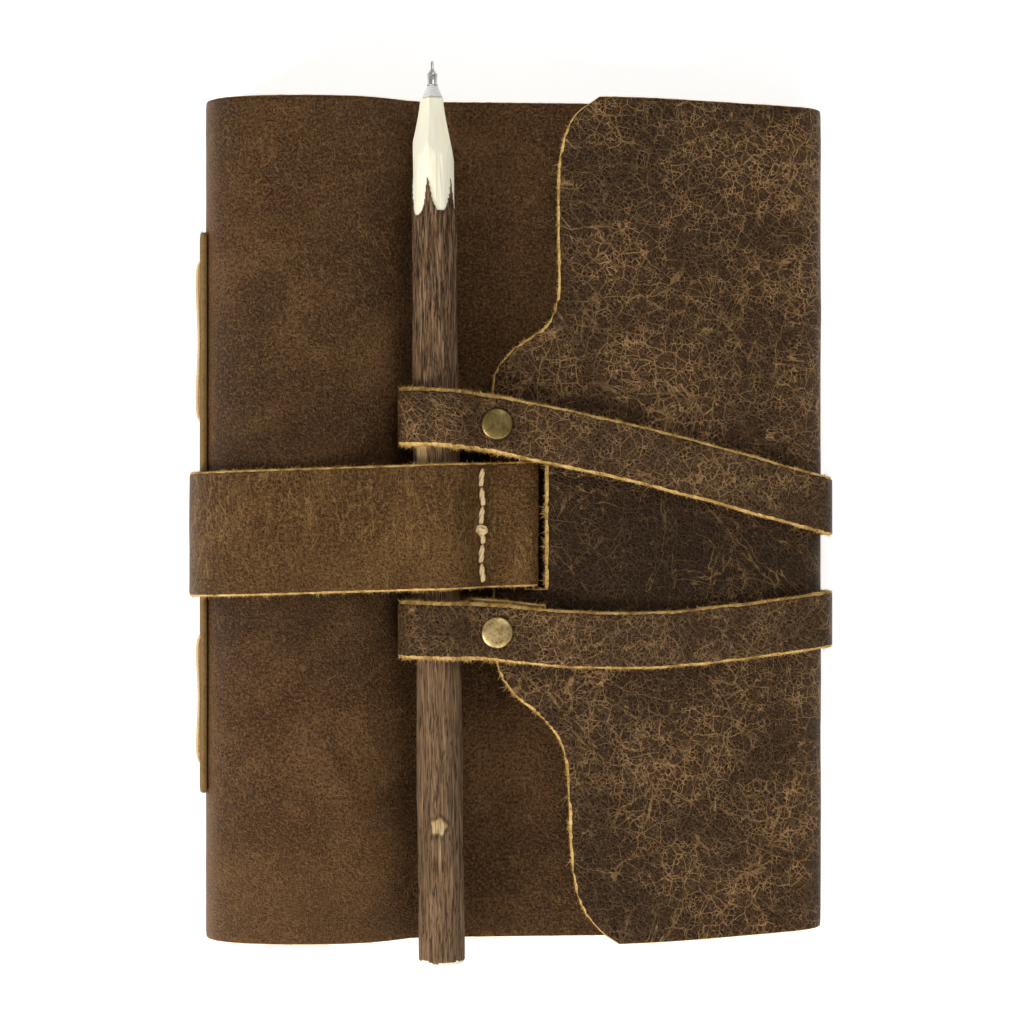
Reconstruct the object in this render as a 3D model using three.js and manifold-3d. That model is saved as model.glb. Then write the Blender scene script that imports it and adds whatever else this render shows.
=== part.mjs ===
// A handmade leather wrap journal, lying on its back cover. Millimetres, +Z up.
// +Y runs up the page towards the pen's tip and +X points to the fore-edge.
// The origin is the middle of the footprint, on the surface that the journal lies on.
import * as THREE from "three";
import { mergeVertices } from "three/addons/utils/BufferGeometryUtils.js";
import Module from "manifold-3d";

const wasm = await Module();
wasm.setup();

// ---- Driving dimensions -------------------------------------------------------------
const leather = 2.0; // thickness of the cover leather
const strapLeather = 2.0; // thickness of the strap
const patchLeather = 1.2; // thickness of the spine patch
const clearance = 0.3; // gap left between pieces that touch

const coverTop = 100.6; // top cut edge of the cover
const coverHeight = 204.9; // cover, top to bottom
const coverHalfWidth = 75.5; // from the middle to the outside of the spine
const edgeTaper = 1.3; // how much lower the cover's top edge is at the fore-edge

const blockThick = 17.4; // text block at the spine
const blockThin = 7.4; // text block at the fore-edge
const pageHeight = 196;
const pageWidth = 143;
const signatureCount = 8;

const strapWidth = 30;
const tailWidth = 13.5;
const strapMiddle = -4.4; // height on the page of the wide strap's middle
const strapTilt = 0.032; // rise of the wide strap from the spine to the tongue

const penRadius = 5.9;
const penX = -18.2;
const penLow = -109.15; // bottom end of the pen
const penTilt = 0.0108; // the pen leans a little, in radians
const barrelLength = 209.2;
const boreRadius = 2.0;
const boreDepth = 66;
const refillRadius = 1.6;

const rivetRadius = 3.9;
const rivetX = -3.6;
const postRadius = 1.1;
const postHole = postRadius + 0.35; // half the width of the punched hole
const threadRadius = 0.35;
const stitchRadius = 0.55;
const stitchX = -7.3;

// ---- Heights worked out from them -----------------------------------------------------
const strapRise = strapLeather + clearance; // how far the strap lifts what lies over it
const coverMiddle = leather / 2;
const blockBase = strapRise + leather + clearance;
const coverBottom = coverTop - coverHeight;
const spineX = -coverHalfWidth + leather / 2; // middle of the spine leather
const foldX = spineX + leather / 2 + 2.5; // outer side of the folds
const foreX = foldX + pageWidth;
const blockTop = (x) => blockBase + blockThick + ((x - foldX) / pageWidth) * (blockThin - blockThick);
const frontOverBlock = clearance + leather / 2; // front cover's middle above the pages
const over = strapLeather / 2 + leather / 2 + clearance; // strap's middle above the cover's middle
const layer = strapLeather + clearance; // between the middles of two strap layers
const frontUnderPen = blockTop(penX) + frontOverBlock + 0.15;
const loopSlack = 0.055; // how far the stiff loops stand off the pen, as a share of its radius
const loopRadius = penRadius * (1 + loopSlack) + strapLeather / 2;
const penZ = frontUnderPen + over + loopRadius + 0.05;

const colours = {
  leather: 0x4b3421,
  edge: 0xa9793d,
  patch: 0x6d4a2a,
  strap: 0x5a4027,
  paper: 0xe9e0c8,
  thread: 0xe8dcc0,
  bark: 0x4a3a2e,
  brass: 0x8d7442,
  steel: 0xb4b6b8,
  plastic: 0xdedcd4,
};

// ---- Small helpers ---------------------------------------------------------------------
const journal = new THREE.Group();

function addPiece(name, geometry, colour, roughness, metalness = 0) {
  const material = new THREE.MeshStandardMaterial({ color: colour, roughness, metalness });
  const mesh = new THREE.Mesh(geometry, material);
  mesh.name = name;
  journal.add(mesh);
  return mesh;
}

function toSolid(geometry) {
  const bare = geometry.clone();
  bare.deleteAttribute("normal");
  bare.deleteAttribute("uv");
  const merged = mergeVertices(bare, 1e-5);
  return new wasm.Manifold(
    new wasm.Mesh({
      numProp: 3,
      vertProperties: new Float32Array(merged.attributes.position.array),
      triVerts: new Uint32Array(merged.index.array),
    }),
  );
}

function toGeometry(solid) {
  const mesh = solid.getMesh();
  const geometry = new THREE.BufferGeometry();
  geometry.setAttribute("position", new THREE.BufferAttribute(new Float32Array(mesh.vertProperties), 3));
  geometry.setIndex(new THREE.BufferAttribute(new Uint32Array(mesh.triVerts), 1));
  return geometry;
}

function placedBox(x0, x1, y0, y1, z0, z1) {
  const box = new THREE.BoxGeometry(x1 - x0, y1 - y0, z1 - z0);
  return toSolid(box.translate((x0 + x1) / 2, (y0 + y1) / 2, (z0 + z1) / 2));
}

function rodAlongY(radius, x, z, y0, y1, sides = 8) {
  const rod = new THREE.CylinderGeometry(radius, radius, y1 - y0, sides);
  return rod.translate(x, (y0 + y1) / 2, z);
}

// A prism standing on an outline in the page's plane.
function pagePrism(shape, z0, z1, curveSegments = 10) {
  const prism = new THREE.ExtrudeGeometry(shape, { depth: z1 - z0, bevelEnabled: false, curveSegments });
  return toSolid(prism.translate(0, 0, z0));
}

// A smooth route through points in the XZ plane, from one of its points to another:
// samples of place and left-hand normal, a few to each stretch between two points.
function route(points, from = 0, to = points.length - 1, perStretch = 3) {
  const curve = new THREE.CatmullRomCurve3(
    points.map(([x, z]) => new THREE.Vector3(x, 0, z)),
    false,
    "centripetal",
  );
  const stops = [];
  for (let i = from * perStretch; i <= to * perStretch; i++) {
    const t = i / perStretch / (points.length - 1);
    const place = curve.getPoint(t);
    const along = curve.getTangent(t);
    stops.push({ x: place.x, z: place.z, nx: -along.z, nz: along.x });
  }
  return stops;
}

// A closed sheet of leather that follows a route, with rows across it from low Y to high Y.
// rowY(stop, j) gives each row's Y, and rise(y, z) lifts what lies over the strap.
function sheet(stops, rows, rowY, thickness, rise = () => 0) {
  const positions = [];
  const across = rows + 1;
  for (const side of [1, -1]) {
    for (const stop of stops) {
      for (let j = 0; j < across; j++) {
        const y = rowY(stop, j / rows);
        const lift = rise(y, stop.z);
        const half = (side * thickness) / 2;
        positions.push(stop.x + stop.nx * half, y, Math.max(0, stop.z + stop.nz * half + lift));
      }
    }
  }
  const count = stops.length * across;
  const at = (side, i, j) => side * count + i * across + j;
  const triangles = [];
  const quad = (a, b, c, d) => triangles.push(a, c, b, a, d, c);
  const last = stops.length - 1;
  for (let i = 0; i < last; i++) {
    for (let j = 0; j < rows; j++) {
      quad(at(0, i, j), at(0, i, j + 1), at(0, i + 1, j + 1), at(0, i + 1, j));
      quad(at(1, i, j), at(1, i + 1, j), at(1, i + 1, j + 1), at(1, i, j + 1));
    }
    quad(at(0, i, 0), at(0, i + 1, 0), at(1, i + 1, 0), at(1, i, 0));
    quad(at(0, i, rows), at(1, i, rows), at(1, i + 1, rows), at(0, i + 1, rows));
  }
  for (let j = 0; j < rows; j++) {
    quad(at(0, 0, j), at(1, 0, j), at(1, 0, j + 1), at(0, 0, j + 1));
    quad(at(0, last, j), at(0, last, j + 1), at(1, last, j + 1), at(1, last, j));
  }
  const geometry = new THREE.BufferGeometry();
  geometry.setAttribute("position", new THREE.BufferAttribute(new Float32Array(positions), 3));
  geometry.setIndex(triangles);
  return geometry;
}

// ---- Routes in the XZ plane ---------------------------------------------------------------
// The cover is one hide: free front edge, front, spine, back, fore-edge and flap.
const onBlock = (x) => [x, blockTop(x) + frontOverBlock];
const bulgeTop = blockTop(-51) + 10.6; // the front cover arches up beside the spine
const spineHigh = bulgeTop - 14;
const coverLeftRoute = [
  [foreX + 0.5, blockTop(foreX) + frontOverBlock + 0.3],
  onBlock(foreX - 22),
  onBlock(20),
  onBlock(-4),
  [penX, frontUnderPen],
  [penX - 6.5, frontUnderPen + 1.5],
  [-31, bulgeTop - 5.2],
  [-37, bulgeTop - 2.0],
  [-44, bulgeTop - 0.5],
  [-51, bulgeTop],
  [-58, bulgeTop - 0.4],
  [-64.5, bulgeTop - 1.9],
  [spineX + 4.5, bulgeTop - 4.7],
  [spineX + 1.2, bulgeTop - 8.9],
  [spineX, spineHigh],
  [spineX, 9],
  [spineX + 0.4, 4.6],
  [spineX + 1.8, coverMiddle + 1],
  [spineX + 4.2, coverMiddle + 0.1],
  [spineX + 9, coverMiddle],
];
const edgeX = foreX + 2.9 + leather / 2; // middle of the leather at the fore-edge
const edgeHigh = blockTop(foreX) + frontOverBlock + over;
const flapFree = edgeHigh + 11.6; // the flap springs up towards its free edge
const flapFlat = 23; // where the flap has risen and lies level
const onFlap = (share) => flapFlat + (edgeX - flapFlat) * share;
const coverRightRoute = [
  [edgeX - 8, coverMiddle],
  [edgeX - 3.6, coverMiddle + 0.3],
  [edgeX - 0.9, coverMiddle + 2.6],
  [edgeX, coverMiddle + 6],
  [edgeX, edgeHigh - 5.4],
  [edgeX - 0.8, edgeHigh - 1.6],
  [edgeX - 3.7, edgeHigh + 0.8],
  [onFlap(0.81), edgeHigh + 2.3],
  [onFlap(0.62), edgeHigh + 4.3],
  [onFlap(0.43), edgeHigh + 6.8],
  [onFlap(0.23), edgeHigh + 9.6],
  [flapFlat, flapFree],
  [12, flapFree],
  [4, flapFree - 0.6],
  [-7, flapFree - 1.5],
];
const barZ = flapFree - 0.6; // the tongue's height beside its slot
const strapX = spineX - leather / 2 - clearance - patchLeather - 0.5 - strapLeather / 2;
const tailEdgeX = edgeX + leather / 2 + 0.6 + strapLeather / 2;

const strapMid = strapLeather / 2;
const slotX = 5.3; // where the strap folds through the tongue
const slotEase = 1.1; // spare width of the slot beyond the fold
const strapRoute = [
  [stitchX - 3.3, barZ - over - 1.0],
  [stitchX, barZ - over - 0.6],
  [-3.5, barZ - over - 0.4],
  [slotX - 2.6, barZ - over - 0.1],
  [slotX - 0.4, barZ - over + 0.9],
  [slotX + 0.2, barZ + 0.2],
  [slotX - 0.4, barZ + over - 0.6],
  [slotX - 2.6, barZ + over + 0.4],
  [-3.5, barZ + over + 0.1],
  [stitchX, barZ + over + 0.5],
  [stitchX - 1.5, barZ + over + 1.4],
  [stitchX - 3.2, penZ + loopRadius * 0.47],
  [penX + loopRadius * 0.69, penZ + loopRadius * 0.82],
  [penX, penZ + loopRadius + 0.1],
  [penX - loopRadius * 0.78, penZ + loopRadius * 0.79],
  [penX - 12.5, bulgeTop + over + 0.7],
  [-41, bulgeTop + over + 0.1],
  [-51, bulgeTop + over + 0.1],
  [-58.5, bulgeTop + over - 0.3],
  [-65.5, bulgeTop + over - 1.5],
  [strapX + 6.5, bulgeTop - 2.0],
  [strapX + 2.1, bulgeTop - 6.5],
  [strapX + 0.1, bulgeTop - 12.4],
  [strapX, 13],
  [strapX + 0.1, 7],
  [strapX + 1.5, strapMid + 2],
  [strapX + 5, strapMid + 0.2],
  [strapX + 10.5, strapMid],
];
const rivetStack = 1.0; // room for the rivet's back plate under the loop's lower layer
const loopLow = flapFree - 0.9 + over + rivetStack; // lower layer's middle under the rivet
const loopHigh = loopLow + layer;
// Round the pen: across and up from its middle, in loop radii.
const aroundPen = (steps) => steps.map(([a, b]) => [penX + a * loopRadius, penZ + b * loopRadius]);
const penLoop = [
  [0.72, 0.86],
  [0, 1.03],
  [-0.82, 0.74],
  [-1.17, 0],
  [-0.78, -0.74],
  [0, -1],
  [0.75, -0.79],
  [1.03, -0.5],
  [1.24, -0.17],
];
const tailRoute = [
  [tailEdgeX - 10.5, strapMid],
  [tailEdgeX - 5, strapMid + 0.2],
  [tailEdgeX - 1.4, strapMid + 2],
  [tailEdgeX, 7],
  [tailEdgeX, edgeHigh - 2.8],
  [tailEdgeX - 1.3, edgeHigh + 1.6],
  [tailEdgeX - 5.6, edgeHigh + 3.6],
  [onFlap(0.81), edgeHigh + 2.3 + over + 0.5],
  [onFlap(0.62), edgeHigh + 4.3 + over + 0.4],
  [onFlap(0.43), edgeHigh + 6.8 + over + 0.4],
  [onFlap(0.23), edgeHigh + 9.6 + over + 0.5],
  [flapFlat, flapFree + over + 0.8],
  [12, loopHigh - 0.2],
  [4, loopHigh],
  [rivetX, loopHigh],
  [rivetX - 4.4, loopHigh + 0.1],
  [rivetX - 6.8, loopHigh + 1.4],
  ...aroundPen(penLoop),
  [rivetX - 3.9, loopLow],
  [4, loopLow],
  [8, loopLow],
];

// Points of the routes where one panel ends and the next starts.
const spineStart = 13;
const flapStart = 6;
const strapSpineStart = 19;
const tailFrontStart = 6;

// ---- Where the strap lies on the page ------------------------------------------------------
const strapY = (x) => strapMiddle + strapTilt * (x + 44);
const tailY = {
  upper: new THREE.CatmullRomCurve3(
    [
      [-30, 23.1],
      [-16, 22.6],
      [-4, 21.2],
      [7, 19.0],
      [36, 12.6],
      [82, 0.4],
    ].map(([x, y]) => new THREE.Vector3(x, y, 0)),
  ),
  lower: new THREE.CatmullRomCurve3(
    [
      [-30, -28.2],
      [-16, -28.5],
      [-4, -29.0],
      [7, -30.2],
      [36, -31.0],
      [82, -26.1],
    ].map(([x, y]) => new THREE.Vector3(x, y, 0)),
  ),
};
function tailMiddle(which, x) {
  const curve = tailY[which];
  let low = 0;
  let high = 1;
  for (let step = 0; step < 30; step++) {
    const middle = (low + high) / 2;
    if (curve.getPoint(middle).x < x) low = middle;
    else high = middle;
  }
  return curve.getPoint((low + high) / 2).y;
}
function tailHalf(which, x) {
  const slope = (tailMiddle(which, x + 1) - tailMiddle(which, x - 1)) / 2;
  return (tailWidth / 2) * Math.hypot(1, slope);
}
const tailSideX = tailEdgeX + 0.5; // the tails run straight round the fore-edge from here
const tailEdgeY = { upper: tailMiddle("upper", tailSideX), lower: tailMiddle("lower", tailSideX) };

// The cover lifts by the strap's thickness over a band as wide as the strap and its fork.
const bandTop = tailEdgeY.upper + tailWidth / 2 + 5;
const bandLow = tailEdgeY.lower - tailWidth / 2 - 4;
const bandRamp = 10;
const liftGone = 10; // height above which the strap no longer lifts the leather
const smooth = (t) => t * t * (3 - 2 * t);
const unit = (t) => Math.min(1, Math.max(0, t));
function overStrap(y, z) {
  const fromTop = unit((bandTop + bandRamp - y) / bandRamp);
  const fromLow = unit((y - bandLow + bandRamp) / bandRamp);
  const inBand = Math.min(fromTop, fromLow);
  const low = unit(1 - (z - coverMiddle) / liftGone);
  return strapRise * smooth(inBand) * low * low;
}

// Rows of a cover sheet, closer together where the leather climbs over the strap.
const towardsEdge = (x) => unit((x - 20) / (edgeX - 20)) ** 2;
const coverTopAt = (x) => coverTop - edgeTaper * towardsEdge(x);
const coverLowAt = (x) => coverBottom + 1.7 * edgeTaper * towardsEdge(x);
const coverRows = 12;
const between = (a, b, share) => a + (b - a) * share;
function coverRowY(stop, v) {
  const low = coverLowAt(stop.x);
  const high = coverTopAt(stop.x);
  const rampLow = bandLow - bandRamp;
  const rampTop = bandTop + bandRamp;
  const rows = [low, between(low, rampLow, 0.3)];
  for (const share of [0, 1 / 3, 2 / 3, 1]) rows.push(between(rampLow, bandLow, share));
  rows.push((bandLow + bandTop) / 2);
  for (const share of [0, 1 / 3, 2 / 3, 1]) rows.push(between(bandTop, rampTop, share));
  rows.push(between(rampTop, high, 0.6), high);
  return rows[Math.round(v * coverRows)];
}

// ---- Cover ---------------------------------------------------------------------------------
function trimmed(stops, fromEnds) {
  // Pulls a route's ends back a little, so that neighbouring panels don't touch.
  const shorter = stops.map((stop) => ({ ...stop }));
  const pull = (end, next) => {
    const run = Math.hypot(next.x - end.x, next.z - end.z);
    end.x += ((next.x - end.x) * fromEnds) / run;
    end.z += ((next.z - end.z) * fromEnds) / run;
  };
  pull(shorter[0], stops[1]);
  pull(shorter[shorter.length - 1], stops[stops.length - 2]);
  return shorter;
}
const halfGap = clearance / 2;

function addCoverFront() {
  const stops = trimmed(route(coverLeftRoute, 0, spineStart), halfGap);
  const rowY = (stop, v) => coverBottom + v * coverHeight;
  addPiece("cover_front", sheet(stops, 1, rowY, leather), colours.leather, 0.6);
}

// Sewing stations on the spine: two long stitches outside, clear of the strap.
const stations = [62, 22, -30, -62];
const signaturePitch = (x) => (blockTop(x) - blockBase) / signatureCount;
const signatureBase = (x, i) => blockBase + i * signaturePitch(x);
const foldMiddle = (i) => signatureBase(foldX, i) + (signaturePitch(foldX) - clearance) / 2;
const threadInside = foldX + 1.9;
const holeHalf = threadRadius + 0.2;

function threadHoles(i, x0, x1) {
  const z = foldMiddle(i);
  return stations.map((y) => placedBox(x0, x1, y - holeHalf, y + holeHalf, z - holeHalf, z + holeHalf));
}

function pierced(solid, x0, x1) {
  let result = solid;
  for (let i = 0; i < signatureCount; i++) {
    for (const hole of threadHoles(i, x0, x1)) result = result.subtract(hole);
  }
  return result;
}

const spineStops = route(coverLeftRoute, spineStart);
function addCoverSpine() {
  const solid = toSolid(sheet(trimmed(spineStops, halfGap), coverRows, coverRowY, leather, overStrap));
  addPiece("cover_spine", toGeometry(pierced(solid, strapX, foldX - 0.1)), colours.leather, 0.6);
}

function addCoverBack() {
  const stops = [];
  const [left, right] = [spineX + 9 + halfGap, edgeX - 8 - halfGap];
  for (const share of [0, 0.27, 0.64, 0.83, 1]) {
    stops.push({ x: between(left, right, share), z: coverMiddle, nx: 0, nz: 1 });
  }
  addPiece("cover_back", sheet(stops, coverRows, coverRowY, leather, overStrap), colours.leather, 0.6);
}

function addCoverForeEdge() {
  const stops = trimmed(route(coverRightRoute, 0, flapStart), halfGap);
  addPiece("cover_fore_edge", sheet(stops, coverRows, coverRowY, leather, overStrap), colours.leather, 0.6);
}

// The flap's outline on the page: two wings, and a tongue between them that the strap pulls on.
const wingX = 11.2; // wings' free edge
const tongueX = -5.0; // tongue's tip
const tongueTopY = 31;
const tongueLowY = -37;
function flapOutline() {
  const outline = new THREE.Path();
  const beyond = edgeX + 14;
  outline.moveTo(beyond, coverTop + 0.3);
  outline.lineTo(21.3, coverTop + 0.3);
  outline.splineThru([
    new THREE.Vector2(wingX + 3.6, coverTop - 5),
    new THREE.Vector2(wingX + 0.4, coverTop - 15),
    new THREE.Vector2(wingX, coverTop - 32),
  ]);
  outline.lineTo(wingX - 0.2, tongueTopY + 20);
  outline.splineThru([
    new THREE.Vector2(wingX - 2.6, tongueTopY + 14.4),
    new THREE.Vector2(wingX - 10.4, tongueTopY + 8.8),
    new THREE.Vector2(tongueX + 1.4, tongueTopY + 3.6),
    new THREE.Vector2(tongueX, tongueTopY - 4),
  ]);
  outline.lineTo(tongueX + 0.7, tongueLowY + 12);
  outline.splineThru([
    new THREE.Vector2(tongueX + 1.4, tongueLowY),
    new THREE.Vector2(tongueX + 5.2, tongueLowY - 7),
    new THREE.Vector2(wingX - 3.4, tongueLowY - 13.3),
    new THREE.Vector2(wingX + 1.0, tongueLowY - 20),
    new THREE.Vector2(wingX + 2.6, tongueLowY - 31),
    new THREE.Vector2(wingX + 3.2, tongueLowY - 46),
    new THREE.Vector2(wingX + 5.6, coverBottom + 9),
    new THREE.Vector2(wingX + 10.6, coverBottom + 2.4),
    new THREE.Vector2(26.2, coverBottom - 0.7),
  ]);
  outline.lineTo(beyond, coverBottom - 0.7);
  return new THREE.Shape(outline.getPoints(5));
}

function addCoverFlap() {
  const stops = trimmed(route(coverRightRoute, flapStart), halfGap);
  const rowY = (stop, v) => {
    const low = coverLowAt(stop.x) - 0.6 * unit((70 - stop.x) / 30);
    const high = coverTopAt(stop.x) + 0.2;
    return low + v * (high - low);
  };
  const flap = toSolid(sheet(stops, 1, rowY, leather));
  const slotHalf = strapLeather / 2 + clearance + 0.5;
  const slotReach = strapWidth / 2 + 1.0;
  const slotY = strapY(slotX);
  const [slotLeft, slotRight] = [slotX - slotHalf, slotX + slotHalf + slotEase];
  const slot = placedBox(slotLeft, slotRight, slotY - slotReach, slotY + slotReach, 0, 60);
  const cut = flap.intersect(pagePrism(flapOutline(), 0, 60)).subtract(slot);
  addPiece("cover_flap", toGeometry(cut), colours.leather, 0.55);
}

function addSpinePatch() {
  const offset = leather / 2 + clearance + patchLeather / 2;
  const stops = spineStops
    .filter((stop) => stop.z > 3.2 && stop.z < bulgeTop - 8)
    .map((stop) => ({ ...stop, x: stop.x - stop.nx * offset, z: stop.z - stop.nz * offset }));
  const patchTop = 68.2;
  const patchLow = -68.5;
  const rows = [patchLow];
  for (const share of [0, 0.5, 1]) rows.push(between(bandLow - bandRamp, bandLow, share));
  for (const share of [0, 0.5, 1]) rows.push(between(bandTop, bandTop + bandRamp, share));
  rows.push(patchTop);
  const rowY = (stop, v) => rows[Math.round(v * 7)];
  const solid = toSolid(sheet(stops, 7, rowY, patchLeather, overStrap));
  addPiece("spine_patch", toGeometry(pierced(solid, strapX, foldX - 0.1)), colours.patch, 0.8);
}

// ---- Pages and their sewing ------------------------------------------------------------------
function addSignature(i) {
  const thick = signaturePitch(foldX) - clearance;
  const thin = signaturePitch(foreX) - clearance;
  const base = signatureBase(foldX, i);
  const tipBase = signatureBase(foreX, i);
  const shape = new THREE.Shape();
  shape.moveTo(foldX + 0.8, base);
  shape.lineTo(foreX, tipBase);
  shape.lineTo(foreX, tipBase + thin);
  shape.lineTo(foldX + 0.8, base + thick);
  shape.quadraticCurveTo(foldX, base + thick, foldX, base + thick / 2);
  shape.quadraticCurveTo(foldX, base, foldX + 0.8, base);
  const extrusion = { depth: pageHeight, bevelEnabled: false, curveSegments: 4 };
  const pages = new THREE.ExtrudeGeometry(shape, extrusion);
  pages.rotateX(Math.PI / 2);
  pages.translate(0, (coverTop + coverBottom) / 2 + pageHeight / 2, 0);
  const gutter = placedBox(
    threadInside - holeHalf, threadInside + holeHalf,
    stations[3] - holeHalf, stations[0] + holeHalf,
    foldMiddle(i) - holeHalf, foldMiddle(i) + holeHalf,
  );
  let solid = toSolid(pages).subtract(gutter);
  for (const hole of threadHoles(i, foldX - 1, threadInside + holeHalf)) solid = solid.subtract(hole);
  addPiece(`signature_${i + 1}`, toGeometry(solid), colours.paper, 0.9);
}

// The thread runs inside the fold, out through each station and along the patch outside.
function spineOutside(z) {
  let best = spineStops[0];
  for (const stop of spineStops) if (Math.abs(stop.z - z) < Math.abs(best.z - z)) best = stop;
  return best.x - leather / 2 - clearance - patchLeather;
}
function addBindingThread(i) {
  const z = foldMiddle(i);
  const outX = spineOutside(z) - clearance - 2 * threadRadius;
  let thread = toSolid(rodAlongY(threadRadius, threadInside, z, stations[3], stations[0], 6));
  const legHalf = threadRadius * 0.8;
  for (const y of stations) {
    const leg = placedBox(outX, threadInside, y - legHalf, y + legHalf, z - legHalf, z + legHalf);
    thread = thread.add(leg);
  }
  for (const [from, to] of [[stations[1], stations[0]], [stations[3], stations[2]]]) {
    thread = thread.add(toSolid(rodAlongY(threadRadius, outX, z, from, to, 6)));
  }
  addPiece(`binding_thread_${i + 1}`, toGeometry(thread), colours.thread, 0.85);
}

// ---- Strap -------------------------------------------------------------------------------------
const strapRowY = (stop, v) => strapY(stop.x) + (v - 0.5) * strapWidth;
const stitchCount = 6;
const stitchLow = strapY(stitchX) - strapWidth / 2 + 1.2;
const stitchPitch = (strapWidth - 2.4) / stitchCount;
const stitchHoleY = Array.from({ length: stitchCount + 1 }, (_, i) => stitchLow + i * stitchPitch);

function addStrapFront() {
  const stops = trimmed(route(strapRoute, 0, strapSpineStart), halfGap);
  let solid = toSolid(sheet(stops, 1, strapRowY, strapLeather));
  const reach = stitchRadius + 0.25;
  const [left, right] = [stitchX - reach, stitchX + reach];
  for (const y of stitchHoleY) {
    solid = solid.subtract(placedBox(left, right, y - reach, y + reach, barZ - 8, barZ + 8));
  }
  addPiece("strap_front", toGeometry(solid), colours.strap, 0.55);
}

// One waxed thread, sewn both ways: every stitch shows above and underneath, and goes down
// through both layers at its ends.
function addStrapThread() {
  const topZ = barZ + over + 0.5 + strapLeather / 2 + clearance + stitchRadius + 0.25;
  const lowZ = barZ - over - 0.6 - strapLeather / 2 - clearance - stitchRadius - 0.25;
  let thread = null;
  const join = (solid) => (thread = thread ? thread.add(solid) : solid);
  stitchHoleY.forEach((y, i) => {
    const leg = new THREE.CylinderGeometry(stitchRadius, stitchRadius, topZ - lowZ, 8);
    join(toSolid(leg.rotateX(Math.PI / 2).translate(stitchX, y, (topZ + lowZ) / 2)));
    if (i === stitchCount) return;
    for (const z of [topZ, lowZ]) {
      join(toSolid(rodAlongY(stitchRadius, stitchX, z, y, y + stitchPitch)));
    }
  });
  addPiece("strap_thread", toGeometry(thread), colours.thread, 0.85);
}

function addStrapSpine() {
  const stops = trimmed(route(strapRoute, strapSpineStart), halfGap);
  addPiece("strap_spine", sheet(stops, 1, strapRowY, strapLeather), colours.strap, 0.6);
}

const forkX = -4; // where the wide strap splits into two tails, on the back
function addStrapBack() {
  const left = strapX + 10.5 + halfGap;
  const right = tailEdgeX - 10.5 - halfGap;
  const half = strapWidth / 2;
  const y0 = strapY(left);
  const crotch = 0.6;
  const outline = new THREE.Shape();
  outline.moveTo(left, y0 + half);
  outline.lineTo(forkX, y0 + half);
  outline.quadraticCurveTo(forkX + 34, y0 + half - 1, right, tailEdgeY.upper + tailWidth / 2);
  outline.lineTo(right, tailEdgeY.upper - tailWidth / 2);
  outline.quadraticCurveTo(forkX + 40, y0 + crotch + 1, forkX, y0 + crotch);
  outline.lineTo(forkX - 1.2, y0);
  outline.lineTo(forkX, y0 - crotch);
  outline.quadraticCurveTo(forkX + 34, y0 - crotch - 2, right, tailEdgeY.lower + tailWidth / 2);
  outline.lineTo(right, tailEdgeY.lower - tailWidth / 2);
  outline.quadraticCurveTo(forkX + 30, y0 - half - 2, forkX, y0 - half);
  outline.lineTo(left, y0 - half);
  outline.closePath();
  addPiece("strap_back", toGeometry(pagePrism(outline, 0, strapLeather, 8)), colours.strap, 0.6);
}

function addTail(which) {
  const sideRowY = (stop, v) => tailEdgeY[which] + (v - 0.5) * tailWidth;
  const side = trimmed(route(tailRoute, 0, tailFrontStart), halfGap);
  addPiece(`${which}_tail_side`, sheet(side, 1, sideRowY, strapLeather), colours.strap, 0.6);

  // The loop's lower layer lies straight under the upper one.
  const frontRowY = (stop, v) => {
    const x = Math.min(stop.x, tailSideX);
    return tailMiddle(which, x) + (v - 0.5) * 2 * tailHalf(which, x);
  };
  const front = trimmed(route(tailRoute, tailFrontStart), halfGap);
  const y = tailMiddle(which, rivetX);
  const hole = placedBox(
    rivetX - postHole, rivetX + postHole, y - postHole, y + postHole,
    loopLow - layer, loopHigh + layer,
  );
  const solid = toSolid(sheet(front, 1, frontRowY, strapLeather)).subtract(hole);
  addPiece(`${which}_tail_front`, toGeometry(solid), colours.strap, 0.55);
  addRivet(which, y);
}

function addRivet(which, y) {
  const seat = loopHigh + strapLeather / 2 + clearance;
  const backTop = loopLow - strapLeather / 2 - 0.15;
  const cap = new THREE.LatheGeometry(
    [
      new THREE.Vector2(0, backTop + 0.2 - seat),
      new THREE.Vector2(postRadius, backTop + 0.2 - seat),
      new THREE.Vector2(postRadius, 0),
      new THREE.Vector2(rivetRadius, 0),
      new THREE.Vector2(rivetRadius, 0.5),
      new THREE.Vector2(rivetRadius * 0.86, 0.95),
      new THREE.Vector2(rivetRadius * 0.5, 1.25),
      new THREE.Vector2(0, 1.35),
    ],
    28,
  ).rotateX(Math.PI / 2);
  addPiece(`${which}_rivet_cap`, cap.translate(rivetX, y, seat), colours.brass, 0.4, 1);
  const plate = new THREE.LatheGeometry(
    [
      new THREE.Vector2(0, -0.75),
      new THREE.Vector2(3.0, -0.75),
      new THREE.Vector2(3.3, -0.2),
      new THREE.Vector2(3.3, 0),
      new THREE.Vector2(0, 0),
    ],
    24,
  ).rotateX(Math.PI / 2);
  addPiece(`${which}_rivet_back`, plate.translate(rivetX, y, backTop), colours.brass, 0.45, 1);
}

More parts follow.
